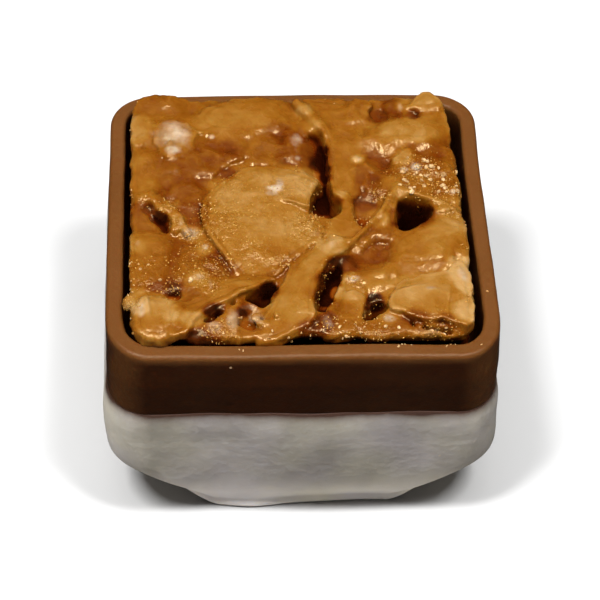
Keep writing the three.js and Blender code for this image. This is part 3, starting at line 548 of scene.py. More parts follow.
# How light the caramel is painted, from nearly black to cream: place, reach and tone. Much of it is the
# caramel's own colour, thick or thin over the flakes; the near-black spots are painted shade in holes,
# crevices and under flake edges, and the brightest spots are painted highlights along ridges and edges.
TONES = [
    (-10.4, 11.6, 0.8, 0.48), (-8.5, 11.0, 1.0, 0.55), (-5.5, 10.2, 1.6, 0.6), (-2.5, 10.0, 1.5, 0.6),
    (-0.5, 10.9, 0.7, 0.52), (0.6, 10.3, 0.4, 0.82), (1.4, 8.9, 0.4, 0.82), (3.0, 9.5, 1.3, 0.5),
    (5.4, 10.6, 0.5, 0.55), (6.2, 9.7, 0.5, 0.28), (7.4, 10.2, 0.5, 0.3), (9.9, 11.5, 0.7, 0.68),
    (8.9, 9.95, 0.3, 0.3), (10.4, 9.4, 0.7, 0.62), (7.9, 10.6, 0.3, 0.7), (-11.3, 8.6, 0.6, 0.74),
    (-9.0, 7.6, 1.2, 0.6), (-7.0, 9.1, 0.6, 0.72), (-5.0, 8.6, 1.0, 0.6), (-3.0, 8.4, 1.0, 0.58),
    (-1.5, 8.2, 0.6, 0.35), (-0.9, 7.4, 0.5, 0.32), (0.1, 7.0, 0.5, 0.4), (1.1, 7.2, 0.4, 0.28),
    (0.8, 5.8, 0.4, 0.26), (1.7, 5.0, 0.6, 0.0), (2.05, 6.2, 0.25, 0.08), (2.1, 4.2, 0.25, 0.0),
    (2.1, 3.2, 0.25, 0.1), (3.5, 7.5, 1.3, 0.54), (5.3, 8.2, 0.6, 0.6), (7.5, 8.0, 1.1, 0.76),
    (9.3, 8.2, 0.7, 0.74), (8.8, 7.25, 0.4, 0.9), (8.8, 6.5, 0.4, 0.4), (-10.8, 4.4, 1.2, 0.5),
    (-11.6, 5.0, 0.4, 0.62), (-8.6, 4.4, 0.8, 0.38), (-7.6, 5.8, 0.6, 0.42), (-6.2, 6.6, 0.6, 0.44),
    (-4.8, 6.2, 0.7, 0.32), (-5.0, 3.7, 0.35, 0.3), (-5.4, 5.4, 0.4, 0.4), (-6.4, 4.2, 0.6, 0.38),
    (-2.2, 6.0, 0.9, 0.52), (-0.9, 5.6, 0.5, 0.34), (0.3, 5.0, 0.4, 0.3), (3.3, 4.8, 1.0, 0.52),
    (5.2, 4.2, 0.8, 0.42), (7.7, 5.3, 0.45, 0.8), (4.4, 5.1, 0.3, 1.0), (6.6, 6.2, 0.5, 0.6),
    (9.5, 5.3, 1.2, 0.45), (11.2, 4.2, 0.6, 0.52), (6.0, 5.4, 0.6, 0.36), (-10.9, 2.0, 0.9, 0.56),
    (-9.4, 2.2, 0.7, 0.36), (-8.0, 2.6, 0.8, 0.38), (-7.4, 1.6, 0.5, 0.38), (-7.5, 0.0, 0.7, 0.34),
    (-3.0, 1.5, 2.3, 0.68), (0.2, 2.6, 1.0, 0.76), (0.0, 0.6, 0.6, 0.62), (3.1, 2.4, 0.7, 0.6),
    (3.0, 1.6, 0.3, 0.85), (5.2, 2.6, 0.8, 0.36), (4.7, 0.4, 0.5, 0.24), (6.5, 2.6, 0.4, 0.6),
    (8.6, 2.6, 1.0, 0.55), (10.6, 2.6, 0.9, 0.52), (8.8, 1.2, 0.7, 0.62), (10.6, 0.4, 0.6, 0.72),
    (7.2, 1.6, 0.4, 0.66), (6.3, 0.6, 0.4, 0.62), (-11.0, 0.2, 0.4, 0.3), (-9.9, -0.9, 0.4, 0.04),
    (-10.6, -1.2, 0.5, 0.4), (-9.2, 0.2, 0.4, 0.62), (-8.6, -1.0, 0.4, 0.66), (-9.6, -2.2, 0.6, 0.46),
    (-7.8, -2.5, 0.6, 0.8), (-7.3, -1.2, 0.4, 0.3), (-4.0, -1.5, 2.0, 0.62), (-0.5, -2.0, 1.4, 0.66),
    (1.7, 0.2, 0.55, 0.0), (1.9, 1.7, 0.5, 0.3), (2.6, 0.9, 0.3, 0.3), (3.2, -0.8, 0.9, 0.62),
    (4.5, -1.2, 0.4, 0.4), (5.4, -0.9, 0.5, 0.66), (7.0, -0.8, 0.3, 0.4), (8.3, -0.6, 0.9, 0.0),
    (10.5, -1.6, 0.8, 0.72), (11.3, -1.8, 0.5, 0.8), (-11.4, -3.4, 0.5, 0.74), (-10.6, -3.2, 0.7, 0.5),
    (-9.8, -3.8, 0.8, 0.46), (-8.4, -3.8, 0.7, 0.42), (-6.7, -3.8, 0.4, 0.7), (-6.0, -5.0, 0.5, 0.26),
    (-5.0, -5.8, 0.5, 0.36), (-3.5, -4.5, 1.2, 0.56), (-1.2, -4.8, 0.9, 0.46), (2.2, -3.7, 0.7, 0.86),
    (0.8, -5.2, 0.8, 0.68), (3.6, -3.6, 0.5, 0.62), (4.6, -3.2, 0.6, 0.5), (5.6, -3.4, 0.7, 0.36),
    (4.8, -4.4, 0.7, 0.4), (7.5, -3.6, 0.9, 0.56), (9.3, -2.8, 0.9, 0.66), (10.6, -3.0, 0.5, 0.66),
    (9.3, -4.5, 0.5, 0.7), (11.2, -4.0, 0.4, 0.6), (9.4, -5.6, 0.4, 0.5), (-11.0, -5.4, 0.8, 0.5),
    (-10.2, -6.2, 0.7, 0.44), (-7.8, -5.6, 0.9, 0.42), (-7.2, -6.7, 0.5, 0.74), (-6.2, -6.0, 0.5, 0.3),
    (-6.4, -7.6, 0.5, 0.66), (-3.6, -6.9, 0.9, 0.6), (-2.2, -6.4, 0.4, 0.46), (0.0, -7.4, 0.9, 0.62),
    (2.4, -5.6, 0.6, 0.05), (3.4, -5.6, 0.5, 0.22), (4.4, -6.2, 0.5, 0.46), (5.0, -6.9, 0.6, 0.7),
    (6.3, -6.2, 0.4, 0.62), (3.5, -6.9, 0.4, 0.7), (8.0, -5.4, 0.8, 0.57), (10.8, -6.2, 0.6, 1.0),
    (11.2, -7.6, 0.4, 1.0), (9.3, -7.2, 0.7, 0.76), (7.2, -8.0, 0.9, 0.78), (8.7, -9.4, 0.7, 0.6),
    (10.2, -8.6, 0.4, 0.66), (6.3, -9.2, 0.5, 0.74), (11.0, -10.2, 0.6, 0.9), (-10.0, -9.4, 0.8, 0.78),
    (-11.1, -9.6, 0.4, 1.0), (-9.0, -8.0, 0.4, 0.05), (-9.8, -7.4, 0.5, 0.3), (-7.6, -8.8, 0.7, 0.46),
    (-5.6, -7.8, 0.9, 0.58), (-2.6, -8.0, 0.5, 0.0), (-0.9, -9.8, 1.0, 0.7), (1.4, -8.4, 0.5, 0.03),
    (1.6, -7.0, 0.5, 0.05), (2.3, -8.4, 0.3, 0.8), (3.4, -8.9, 0.5, 0.78), (2.9, -9.6, 0.4, 0.5),
    (5.0, -9.4, 0.45, 0.0), (3.3, -10.4, 0.5, 0.55), (-10.3, -11.3, 0.9, 0.57), (-9.2, -10.4, 0.3, 0.9),
    (-7.6, -10.8, 0.5, 0.86), (-8.7, -11.8, 0.6, 0.55), (-6.2, -9.9, 0.4, 0.05), (-4.9, -10.8, 0.6, 0.62),
    (-6.3, -11.4, 0.5, 0.5), (-4.2, -10.2, 0.3, 0.05), (-3.2, -10.6, 0.5, 0.6), (-3.6, -9.6, 0.4, 0.3),
    (-1.6, -11.4, 0.8, 0.55), (-7.2, -12.2, 0.6, 0.1), (-4.0, -12.0, 0.7, 0.5), (0.2, -11.6, 0.5, 0.2),
    (1.5, -11.2, 0.5, 0.2), (2.6, -11.6, 0.6, 0.48), (4.4, -11.4, 0.6, 0.46), (5.7, -10.8, 0.5, 0.72),
    (7.8, -11.0, 0.6, 0.28), (9.6, -11.3, 0.6, 0.28), (8.6, -12.0, 0.8, 0.56), (6.4, -11.9, 0.6, 0.44),
    (10.6, -12.0, 0.6, 0.5),
]

# Milky places, where sugar has set pale in the caramel, with painted highlights, white glossy spots, among
# them: place, the two reaches and strength.
SUGAR_AND_HIGHLIGHT_SPOTS = [
    (-8.9, 7.8, 1.5, 1.5, 0.85), (-8.9, 6.2, 0.7, 0.7, 1.0), (-7.8, -2.5, 0.8, 0.7, 0.85),
    (-6.7, -3.8, 0.3, 0.4, 0.8), (-1.6, 2.1, 0.7, 0.45, 1.0), (-1.3, 2.6, 0.35, 0.6, 1.0),
    (-1.9, 1.6, 0.5, 0.3, 0.9), (0.1, 6.9, 0.5, 1.1, 0.6), (0.1, 5.3, 0.3, 0.35, 0.5),
    (8.6, 4.3, 0.45, 0.5, 1.0), (7.7, 4.0, 0.4, 0.35, 0.9), (11.1, 1.7, 0.3, 0.3, 1.0),
    (9.9, 3.6, 1.4, 1.1, 0.22), (10.8, 2.6, 0.9, 0.8, 0.22), (3.5, -7.0, 0.6, 0.4, 0.7),
    (-6.2, -11.4, 0.7, 0.6, 0.7), (-4.9, -10.9, 0.55, 1.0, 0.85), (-3.2, -10.8, 0.7, 0.6, 0.75),
    (5.75, -10.8, 0.5, 0.5, 0.9), (8.7, -7.9, 0.4, 0.2, 0.8), (11.1, -6.6, 0.5, 1.0, 0.7),
    (-11.1, -9.8, 0.4, 0.9, 0.75), (-7.2, -6.7, 0.7, 0.4, 0.75), (8.6, -12.0, 1.2, 0.4, 0.4),
    (7.9, 10.6, 0.25, 0.6, 0.5), (5.5, 10.7, 0.35, 0.35, 0.4), (1.0, -2.6, 0.5, 0.4, 0.4),
    (2.1, -3.7, 0.35, 0.5, 0.5), (-6.1, 7.6, 0.35, 0.3, 0.7), (-6.7, 3.9, 0.4, 0.3, 0.45),
    (-8.7, 3.9, 0.3, 0.35, 0.45), (4.4, 5.1, 0.35, 0.25, 0.6), (1.6, -11.0, 0.5, 0.8, 0.5),
    (-6.4, -7.5, 0.3, 0.7, 0.6), (-8.4, -1.2, 0.25, 0.8, 0.5), (6.2, 9.6, 0.4, 0.5, 0.25),
    (-3.7, -9.6, 0.6, 0.4, 0.4), (-11.4, -3.4, 0.25, 0.5, 0.4), (11.2, -9.8, 0.5, 0.8, 0.4),
]

# Grainy places, where small sugar grains stick out of the caramel: place, reach and strength.
SUGAR = [
    (9.0, 3.4, 2.2, 0.8), (10.4, 1.6, 1.4, 0.8), (-6.6, -6.0, 1.5, 1.0), (-9.2, -8.0, 0.7, 1.0),
    (-6.0, -5.0, 0.8, 0.8), (-1.6, -5.2, 0.8, 1.0), (0.4, -2.2, 1.4, 1.0), (-10.6, -5.4, 0.8, 0.6),
    (2.2, -6.6, 0.9, 0.4), (3.5, -7.0, 0.7, 0.8), (4.8, -9.8, 0.6, 0.4), (1.6, -11.2, 0.9, 0.7),
    (8.8, -12.0, 1.8, 0.5), (4.6, -12.0, 1.5, 0.6), (-11.9, -9.2, 0.7, 1.0), (4.6, -1.2, 0.6, 1.0),
    (-5.8, -12.0, 1.2, 0.9), (-9.4, 0.4, 0.8, 0.9), (-8.6, -1.2, 0.6, 0.8), (10.8, -0.6, 0.7, 0.9),
    (11.6, -8.6, 0.6, 0.7), (-7.6, -2.6, 0.9, 0.8), (5.6, 1.8, 0.8, 0.8), (-12.0, -5.5, 0.6, 0.8),
    (-6.7, -3.8, 0.6, 0.8), (-6.2, -0.4, 1.0, 0.9), (-5.4, -2.4, 1.2, 0.7), (-1.4, 2.2, 0.9, 0.8),
    (6.0, 1.2, 0.6, 0.9), (-0.2, 1.6, 0.8, 0.7), (-8.9, -7.0, 0.6, 0.7), (1.4, -8.8, 0.7, 0.4),
    (0.0, 4.0, 0.5, 0.5), (-6.4, -7.6, 0.8, 0.9), (11.5, -4.0, 0.4, 0.6), (-3.0, 0.0, 2.6, 0.35),
    (1.3, -0.9, 0.5, 0.9), (-5.4, -0.8, 1.9, 0.9), (-4.6, 2.4, 1.3, 0.7), (-3.4, -4.2, 1.8, 0.6),
    (0.4, -1.6, 1.5, 1.0), (0.4, 2.2, 1.0, 0.6), (-11.2, 0.8, 0.7, 0.5), (-7.6, -5.4, 1.6, 0.7),
    (-10.8, -7.0, 0.8, 0.6), (1.9, -5.6, 0.7, 0.4), (5.4, -3.6, 1.2, 0.2),
]

# Where rounder, paler sugar pearls sit: place, the two reaches and strength.
PEARLS = [
    (9.6, 3.2, 2.2, 1.5, 1.0), (10.9, 1.8, 0.8, 1.0, 0.9), (-7.9, -2.4, 0.6, 0.5, 0.9),
    (-6.7, -3.7, 0.4, 0.4, 1.0), (-1.5, 2.2, 0.5, 0.4, 0.8), (-1.5, 2.2, 0.3, 0.3, 1.0),
    (-6.3, 7.7, 0.6, 0.4, 0.8), (9.6, -12.0, 1.2, 0.4, 0.9), (6.0, -11.8, 0.8, 0.4, 0.8),
    (-7.3, -6.7, 0.6, 0.4, 0.9), (10.5, -0.1, 0.5, 0.4, 1.0), (-5.6, -11.9, 0.5, 0.6, 0.8),
    (3.6, -7.0, 0.6, 0.4, 0.6), (-9.9, -6.9, 0.5, 0.5, 0.6), (-10.8, -5.6, 0.5, 0.5, 0.5),
    (-4.8, -11.2, 0.5, 0.8, 0.5),
]

SLAB_MIDDLE = (-0.1, -0.02)
SLAB_HALF = (11.8, 11.62)
SLAB_CORNER = 1.3
TAPER, TAPER_FROM = 0.07, 2  # how far the right side leans in per millimetre, behind this place
FOLD_EDGE, FOLD_FADE = 0.14, 0.9  # how sharp a fold's step is, and how soon its rise fades
FAR = 9.0  # further than anything here reaches
CELL = 0.1  # the side of a cell of the grid that the topping is shaped on
TOPPING_TRIANGLES, FLAKE_TRIANGLES = 190000, 30000  # the most that are kept


def lean_of(height):
    """How far behind its place on the topping something of the given height is drawn."""
    return LEAN * (height - DRAWN_AT)


def outline_of(shape):
    """The outline of a flake at its own height."""
    loop = curve_through(shape["outline"]) if shape.get("smooth", True) else np.array(shape["outline"])
    return loop - (0, lean_of(shape["top"]))


def height_over(shape, x, y):
    """The height of a flake's top at each place in plan."""
    y = y + lean_of(shape["top"])
    centre = np.mean(shape["outline"], axis=0)
    dx, dy = x - centre[0], y - centre[1]
    height = shape["top"] + shape["slope"][0] * dx + shape["slope"][1] * dy
    height = height - shape["droop"][0] * dx**2 - shape["droop"][1] * dy**2
    for bx, by, amount, reach in shape["bumps"]:
        height = height + amount * np.exp(-((x - bx) ** 2 + (y - by) ** 2) / reach**2)
    for ax, ay, bx, by, rise in shape.get("folds", []):
        length = math.hypot(bx - ax, by - ay)
        along = ((x - ax) * (bx - ax) + (y - ay) * (by - ay)) / length**2
        across = ((y - ay) * (bx - ax) - (x - ax) * (by - ay)) / length
        there = smooth_step(along, 0, 0.6) * (1 - smooth_step(along, 1, 1.4))
        there = there * smooth_step(across, -FOLD_EDGE, FOLD_EDGE)
        height = height + rise * there * np.exp(-np.maximum(across, 0) / FOLD_FADE)
    return height


def plate_field(shape, x, y, z, wobble=0.0):
    """The field of a thin plate with rounded edges, over a window of a grid."""
    flat = outline_distance(outline_of(shape), x, y)[..., None] + wobble
    middle = height_over(shape, x, y) - shape["thick"] / 2
    steep = np.hypot(*np.gradient(middle, x[1, 0] - x[0, 0], y[0, 1] - y[0, 0]))
    tall = np.abs(z - middle[..., None]) / np.sqrt(1 + steep**2)[..., None] - shape["thick"] / 2
    a, b = flat + shape["edge"], tall + shape["edge"]
    return np.minimum(np.maximum(a, b), 0) + np.hypot(np.maximum(a, 0), np.maximum(b, 0)) - shape["edge"]


def chip_shape(outline, top, slope, thick):
    """A chip, in the same terms as a flake."""
    shape = dict(outline=outline, top=top, slope=slope, droop=(0.01, 0.01), bumps=[])
    return dict(shape, thick=thick, edge=min(0.22, thick / 2.2), blend=0.65)


def span_of(outline, margin):
    """The low and high corner of an outline in plan, with a margin."""
    low, high = np.min(outline, axis=0), np.max(outline, axis=0)
    return low - margin, high + margin


def caramel_level(x, y):
    """The height of the caramel between the flakes, which follows the flakes near it."""
    weight = 0.2 + 0 * x
    total = weight * (1.0 + 0.035 * y)
    for shape in FLAKES.values():
        near = np.exp(-((np.maximum(outline_distance(outline_of(shape), x, y), 0) / 0.9) ** 2))
        total = total + near * (height_over(shape, x, y) - shape["step"])
        weight = weight + near
    return total / weight


def places_near(x, y, spots):
    """The strongest of some round or oval spots at each place."""
    best = np.zeros(np.shape(x))
    for sx, sy, rx, ry, strength in spots:
        best = np.maximum(best, strength * np.exp(-((((x - sx) / rx) ** 2 + ((y - sy) / ry) ** 2) ** 1.5)))
    return best


def graininess(x, y):
    """How grainy with sugar each place is."""
    return places_near(x, y, [(sx, sy, reach, reach, strength) for sx, sy, reach, strength in SUGAR])


def past_sides(x, y):
    """How far out of the slab's left or right side a place is. The right one leans in towards the back."""
    return np.abs(x - SLAB_MIDDLE[0]) + TAPER * np.maximum(y - TAPER_FROM, 0) * (x > 0) - SLAB_HALF[0]


def slab_side(x, y, z):
    """The field of the slab's upright sides, drawn in below, most at the front."""
    qx = past_sides(x, y) + SLAB_CORNER
    qy = np.abs(y - SLAB_MIDDLE[1]) - SLAB_HALF[1] + SLAB_CORNER + 0 * x
    side = np.hypot(np.maximum(qx, 0), np.maximum(qy, 0)) + np.minimum(np.maximum(qx, qy), 0) - SLAB_CORNER
    return side + (0.2 + 0.25 * (y < 0)) * smooth_step(0.5 - z, 0, 1)


def ridge_distance(route, x, y, z):
    """Distance from each place in a window to a line through a ridge's points."""
    best = np.full(np.broadcast_shapes(x[..., None].shape, z.shape), FAR)
    for a, b in zip(route[:-1], route[1:]):
        e = b - a
        dx, dy, dz = x[..., None] - a[0], y[..., None] - a[1], z - a[2]
        t = np.clip((dx * e[0] + dy * e[1] + dz * e[2]) / (e @ e), 0, 1)
        away = (dx - t * e[0]) ** 2 + (dy - t * e[1]) ** 2 + (dz - t * e[2]) ** 2
        best = np.minimum(best, away)
    return np.sqrt(best)


def topping_field(grid):
    """The whole topping: a ragged block of caramel with flakes, chips, ridges, lumps and hollows."""
    x, y, z = (axis.reshape([-1 if a == b else 1 for b in range(3)]) for a, axis in enumerate(grid.axes))
    plan = grid.shape[:2]
    wide_x, wide_y = np.meshgrid(grid.axes[0], grid.axes[1], indexing="ij")
    top = caramel_level(wide_x, wide_y)[..., None]
    top = top + 0.05 * ripple(plan, grid.step, 3.0, 5)[..., None]
    top = top + 0.015 * ripple(plan, grid.step, 1.2, 6)[..., None]
    rough = 0.06 * ripple(grid.shape, grid.step, 1.5, 7) + 0.05 * ripple(grid.shape, grid.step, 0.45, 8)
    wobble = 0.05 * ripple(plan, grid.step, 0.8, 21) + 0.02 * ripple(plan, grid.step, 0.3, 22)
    wobble = wobble[..., None]
    field = carve(slab_side(x, y, z) + rough, top - z, 0.4)
    for shape in [chip_shape(*chip) for chip in CHIPS] + list(FLAKES.values()):
        cut, (u, v), w = grid.window(*span_of(outline_of(shape), 1.0))
        field[cut] = merge(field[cut], plate_field(shape, u, v, w, wobble[cut]), shape["blend"])
    beyond = np.maximum(past_sides(x, y) - 0.08, -FAR)
    field = np.maximum(field, beyond + 0.5 * rough)
    creases = np.abs(ripple(grid.shape, grid.step, 1.5, 41))
    field = field + (0.055 * np.minimum(creases, 1.2) - 0.043) * smooth_step(-beyond, 0, 0.8)
    for points, radius in RIDGES:
        route = curve_through([(px, py - lean_of(pz), pz) for px, py, pz in points], 4, closed=False)
        cut, (u, v), w = grid.window(*span_of(route[:, :2], radius + 0.8))
        ridge = ridge_distance(route, u, v, w) - radius - 0.4 * wobble[cut]
        field[cut] = merge(field[cut], ridge, 0.25 + 0.5 * radius)
    for cx, cy, cz, rx, ry, rz in LUMPS:
        cy = cy - lean_of(cz)
        cut, (u, v), w = grid.window((cx - rx - 0.8, cy - ry - 0.8), (cx + rx + 0.8, cy + ry + 0.8))
        dx, dy, dz = (u[..., None] - cx) / rx, (v[..., None] - cy) / ry, (w - cz) / rz
        lump = (np.sqrt(dx**2 + dy**2 + dz**2) - 1) * min(rx, ry, rz) + 0.7 * wobble[cut]
        field[cut] = merge(field[cut], lump, 0.2 + 0.5 * rz)
    for outline, narrowing, floor, fall, rounding in HOLLOWS:
        cut, (u, v), w = grid.window(*span_of(outline, 0.8))
        flat = blurred(outline_distance(curve_through(outline), u, v), 2)[..., None] + wobble[cut]
        middle = np.mean(outline, axis=0)
        ground = (floor + fall[0] * (u - middle[0]) + fall[1] * (v - middle[1]))[..., None]
        hollow = np.maximum(flat + narrowing * np.maximum(DRAWN_AT - w, 0), ground - w + 0.3 * rough[cut])
        field[cut] = carve(field[cut], hollow, rounding)
    fine = 0.006 + 0.022 * graininess(wide_x, wide_y)[..., None]
    field += fine * ripple(grid.shape, grid.step, 0.4, 10) + 0.007 * ripple(grid.shape, grid.step, 0.9, 9)
    return np.maximum(field, RECESS + 0.05 - z)


whole = Grid((-12.6, -12.6, RECESS - 0.2), (12.4, 12.4, 2.9), CELL)
everything = topping_field(whole)
fullness = blurred((everything < 0).astype(np.float32), 2)
tops = np.where(everything < 0, whole.axes[2], RECESS).max(axis=2)
tops_smooth = blurred(tops.astype(np.float32), 9)
patches = ripple(whole.shape[:2], whole.step, 1.5, 31)


def paint_topping(piece):
    """Stores at each point of a piece its tone, with painted shade and highlights in it, how folded in and
    how deep it is, its pale spots, and how grainy and crumbly it is.
    """
    p = points_of(piece)
    x, y = p[:, 0], p[:, 1] + lean_of(p[:, 2])
    paint(piece, "fold", whole.sample(fullness, p))
    depth = np.maximum(whole.sample(tops_smooth, p[:, :2]), 0.3) - p[:, 2]
    open_top = 1 - smooth_step(depth, 0.3, 0.6)
    paint(piece, "depth", depth)
    # Painted light and shade: the tone's darkest spots stand for shade and its lightest for highlights.
    weight = np.full(len(p), 1e-4)
    tone = 0.4 * weight
    for tx, ty, reach, value in TONES:
        near = np.exp(-((x - tx) ** 2 + (y - ty) ** 2) / reach**2) / reach
        tone, weight = tone + near * value, weight + near
    paint(piece, "tone", tone / weight)
    paint(piece, "sugar_and_highlight", places_near(x, y, SUGAR_AND_HIGHLIGHT_SPOTS))
    paint(piece, "sugar", graininess(x, y) * open_top)
    paint(piece, "pearly", places_near(x, y, PEARLS) * open_top)
    rim = np.maximum(np.abs(x - SLAB_MIDDLE[0]) - SLAB_HALF[0], np.abs(y - SLAB_MIDDLE[1]) - SLAB_HALF[1])
    near_rim = smooth_step(rim, -0.9, -0.2) * smooth_step(p[:, 2], -0.6, 0.3)
    patchy = smooth_step(whole.sample(patches, p[:, :2]), 0.0, 1.2)
    paint(piece, "crumbly", near_rim * patchy * (0.3 + 0.7 * smooth_step(-y, -4, 8)))


# ---------------------------------------------------------------- materials


def new_material(name):
    material = bpy.data.materials.new(name)
    material.use_nodes = True
    tree = material.node_tree
    return material, tree, tree.links, tree.nodes["Principled BSDF"]


def set_constants(node, values):
    for label, value in values.items():
        node.inputs[label].default_value = value


def add_node(tree, kind, values=None, **settings):
    """A node with its settings, and constants on its sockets."""
    node = tree.nodes.new(kind)
    for key, value in settings.items():
        setattr(node, key, value)
    set_constants(node, values or {})
    return node


def joined(tree, operation, a, b=None, c=None, clamp=False):
    """A maths node on sockets or numbers, and its output."""
    node = add_node(tree, "ShaderNodeMath", operation=operation, use_clamp=clamp)
    for i, value in enumerate((a, b, c)):
        if value is None:
            continue
        if isinstance(value, (int, float)):
            node.inputs[i].default_value = value
        else:
            tree.links.new(value, node.inputs[i])
    return node.outputs[0]


def remapped(tree, value, low, high, to_low=0.0, to_high=1.0):
    """A value moved from one range to another, and held at its ends."""
    ends = {"From Min": low, "From Max": high, "To Min": to_low, "To Max": to_high}
    node = add_node(tree, "ShaderNodeMapRange", ends)
    tree.links.new(value, node.inputs["Value"])
    return node.outputs["Result"]


def coloured(tree, factor, first, second):
    """A colour between two others, each of which is a colour or a node's output."""
    mix = add_node(tree, "ShaderNodeMix", data_type="RGBA")
    tree.links.new(factor, mix.inputs["Factor"])
    for label, colour in (("A", first), ("B", second)):
        if isinstance(colour, tuple):
            mix.inputs[label].default_value = (*colour, 1)
        else:
            tree.links.new(colour, mix.inputs[label])
    return mix.outputs["Result"]


def place_on_piece(tree):
    return add_node(tree, "ShaderNodeTexCoord").outputs["Object"]


def painted(tree, name):
    """What is stored at a piece's points under a name."""
    return add_node(tree, "ShaderNodeAttribute", attribute_name=name).outputs["Fac"]


def add_bump(tree, shader, height, strength, distance):
    bump = add_node(tree, "ShaderNodeBump", {"Strength": strength, "Distance": distance})
    tree.links.new(height, bump.inputs["Height"])
    tree.links.new(bump.outputs["Normal"], shader.inputs["Normal"])


def let_light_in(shader, weight, radius, scale):
    """Light that spreads under the surface, furthest in red."""
    values = {"Subsurface Weight": weight, "Subsurface Radius": radius, "Subsurface Scale": scale}
    set_constants(shader, values)


def new_effect(name, inputs, output):
    """A group for an effect that several materials share, with its inner nodes and its named sockets."""
    tree = bpy.data.node_groups.new(name, "ShaderNodeTree")
    for label, kind, value in inputs:
        socket = tree.interface.new_socket(label, in_out="INPUT", socket_type=kind)
        if value is not None:
            socket.default_value = value
    tree.interface.new_socket(output, in_out="OUTPUT", socket_type="NodeSocketFloat")
    return tree, tree.nodes.new("NodeGroupInput").outputs, tree.nodes.new("NodeGroupOutput").inputs[0]


def make_mottling():
    """Uneven patches, from -1 to 1."""
    inputs = [
        ("Place", "NodeSocketVector", None),
        ("Per metre", "NodeSocketFloat", 500.0),
        ("Detail", "NodeSocketFloat", 3.0),
        ("Harshness", "NodeSocketFloat", 0.5),
    ]
    tree, given, out = new_effect("mottling", inputs, "Patches")
    noise = add_node(tree, "ShaderNodeTexNoise")
    pairs = (("Place", "Vector"), ("Per metre", "Scale"), ("Detail", "Detail"), ("Harshness", "Roughness"))
    for label, socket in pairs:
        tree.links.new(given[label], noise.inputs[socket])
    tree.links.new(remapped(tree, noise.outputs["Fac"], 0.3, 0.7, -1, 1), out)
    return tree


def make_specks():
    """A few tiny specks, 1 on each and 0 elsewhere."""
    inputs = [
        ("Place", "NodeSocketVector", None),
        ("Per metre", "NodeSocketFloat", 400.0),
        ("Size", "NodeSocketFloat", 0.06),
    ]
    tree, given, out = new_effect("stray_specks", inputs, "Specks")
    cells = add_node(tree, "ShaderNodeTexVoronoi")
    tree.links.new(given["Place"], cells.inputs["Vector"])
    tree.links.new(given["Per metre"], cells.inputs["Scale"])
    chance = add_node(tree, "ShaderNodeSeparateXYZ")
    tree.links.new(cells.outputs["Color"], chance.inputs[0])
    few = joined(tree, "GREATER_THAN", chance.outputs["X"], 0.8)
    close = joined(tree, "LESS_THAN", cells.outputs["Distance"], given["Size"])
    tree.links.new(joined(tree, "MULTIPLY", few, close), out)
    return tree


MOTTLING = make_mottling()
SPECKS = make_specks()


def effect(tree, group_tree, coords, values):
    """One of the shared effects, placed in a material with its own values."""
    group = add_node(tree, "ShaderNodeGroup", node_tree=group_tree)
    set_constants(group, values)
    tree.links.new(coords, group.inputs["Place"])
    return group.outputs[0]


def mottled(tree, coords, scale, detail=3.0, harshness=0.5, turned=0.0, stretched=None):
    if stretched:
        squash = add_node(tree, "ShaderNodeMapping", {"Rotation": (0, 0, turned), "Scale": stretched})
        tree.links.new(coords, squash.inputs["Vector"])
        coords = squash.outputs["Vector"]
    return effect(tree, MOTTLING, coords, {"Per metre": scale, "Detail": detail, "Harshness": harshness})


def specked(tree, coords, scale, size):
    return effect(tree, SPECKS, coords, {"Per metre": scale, "Size": size})


CARAMEL_TONES = [
    (0.0, (0.010, 0.0018, 0.0003)), (0.12, (0.034, 0.0052, 0.0004)), (0.3, (0.086, 0.0165, 0.0007)),
    (0.45, (0.118, 0.0335, 0.0017)), (0.6, (0.152, 0.052, 0.0034)), (0.75, (0.180, 0.075, 0.0088)),
    (0.9, (0.220, 0.110, 0.026)), (1.0, (0.260, 0.145, 0.048)),
]


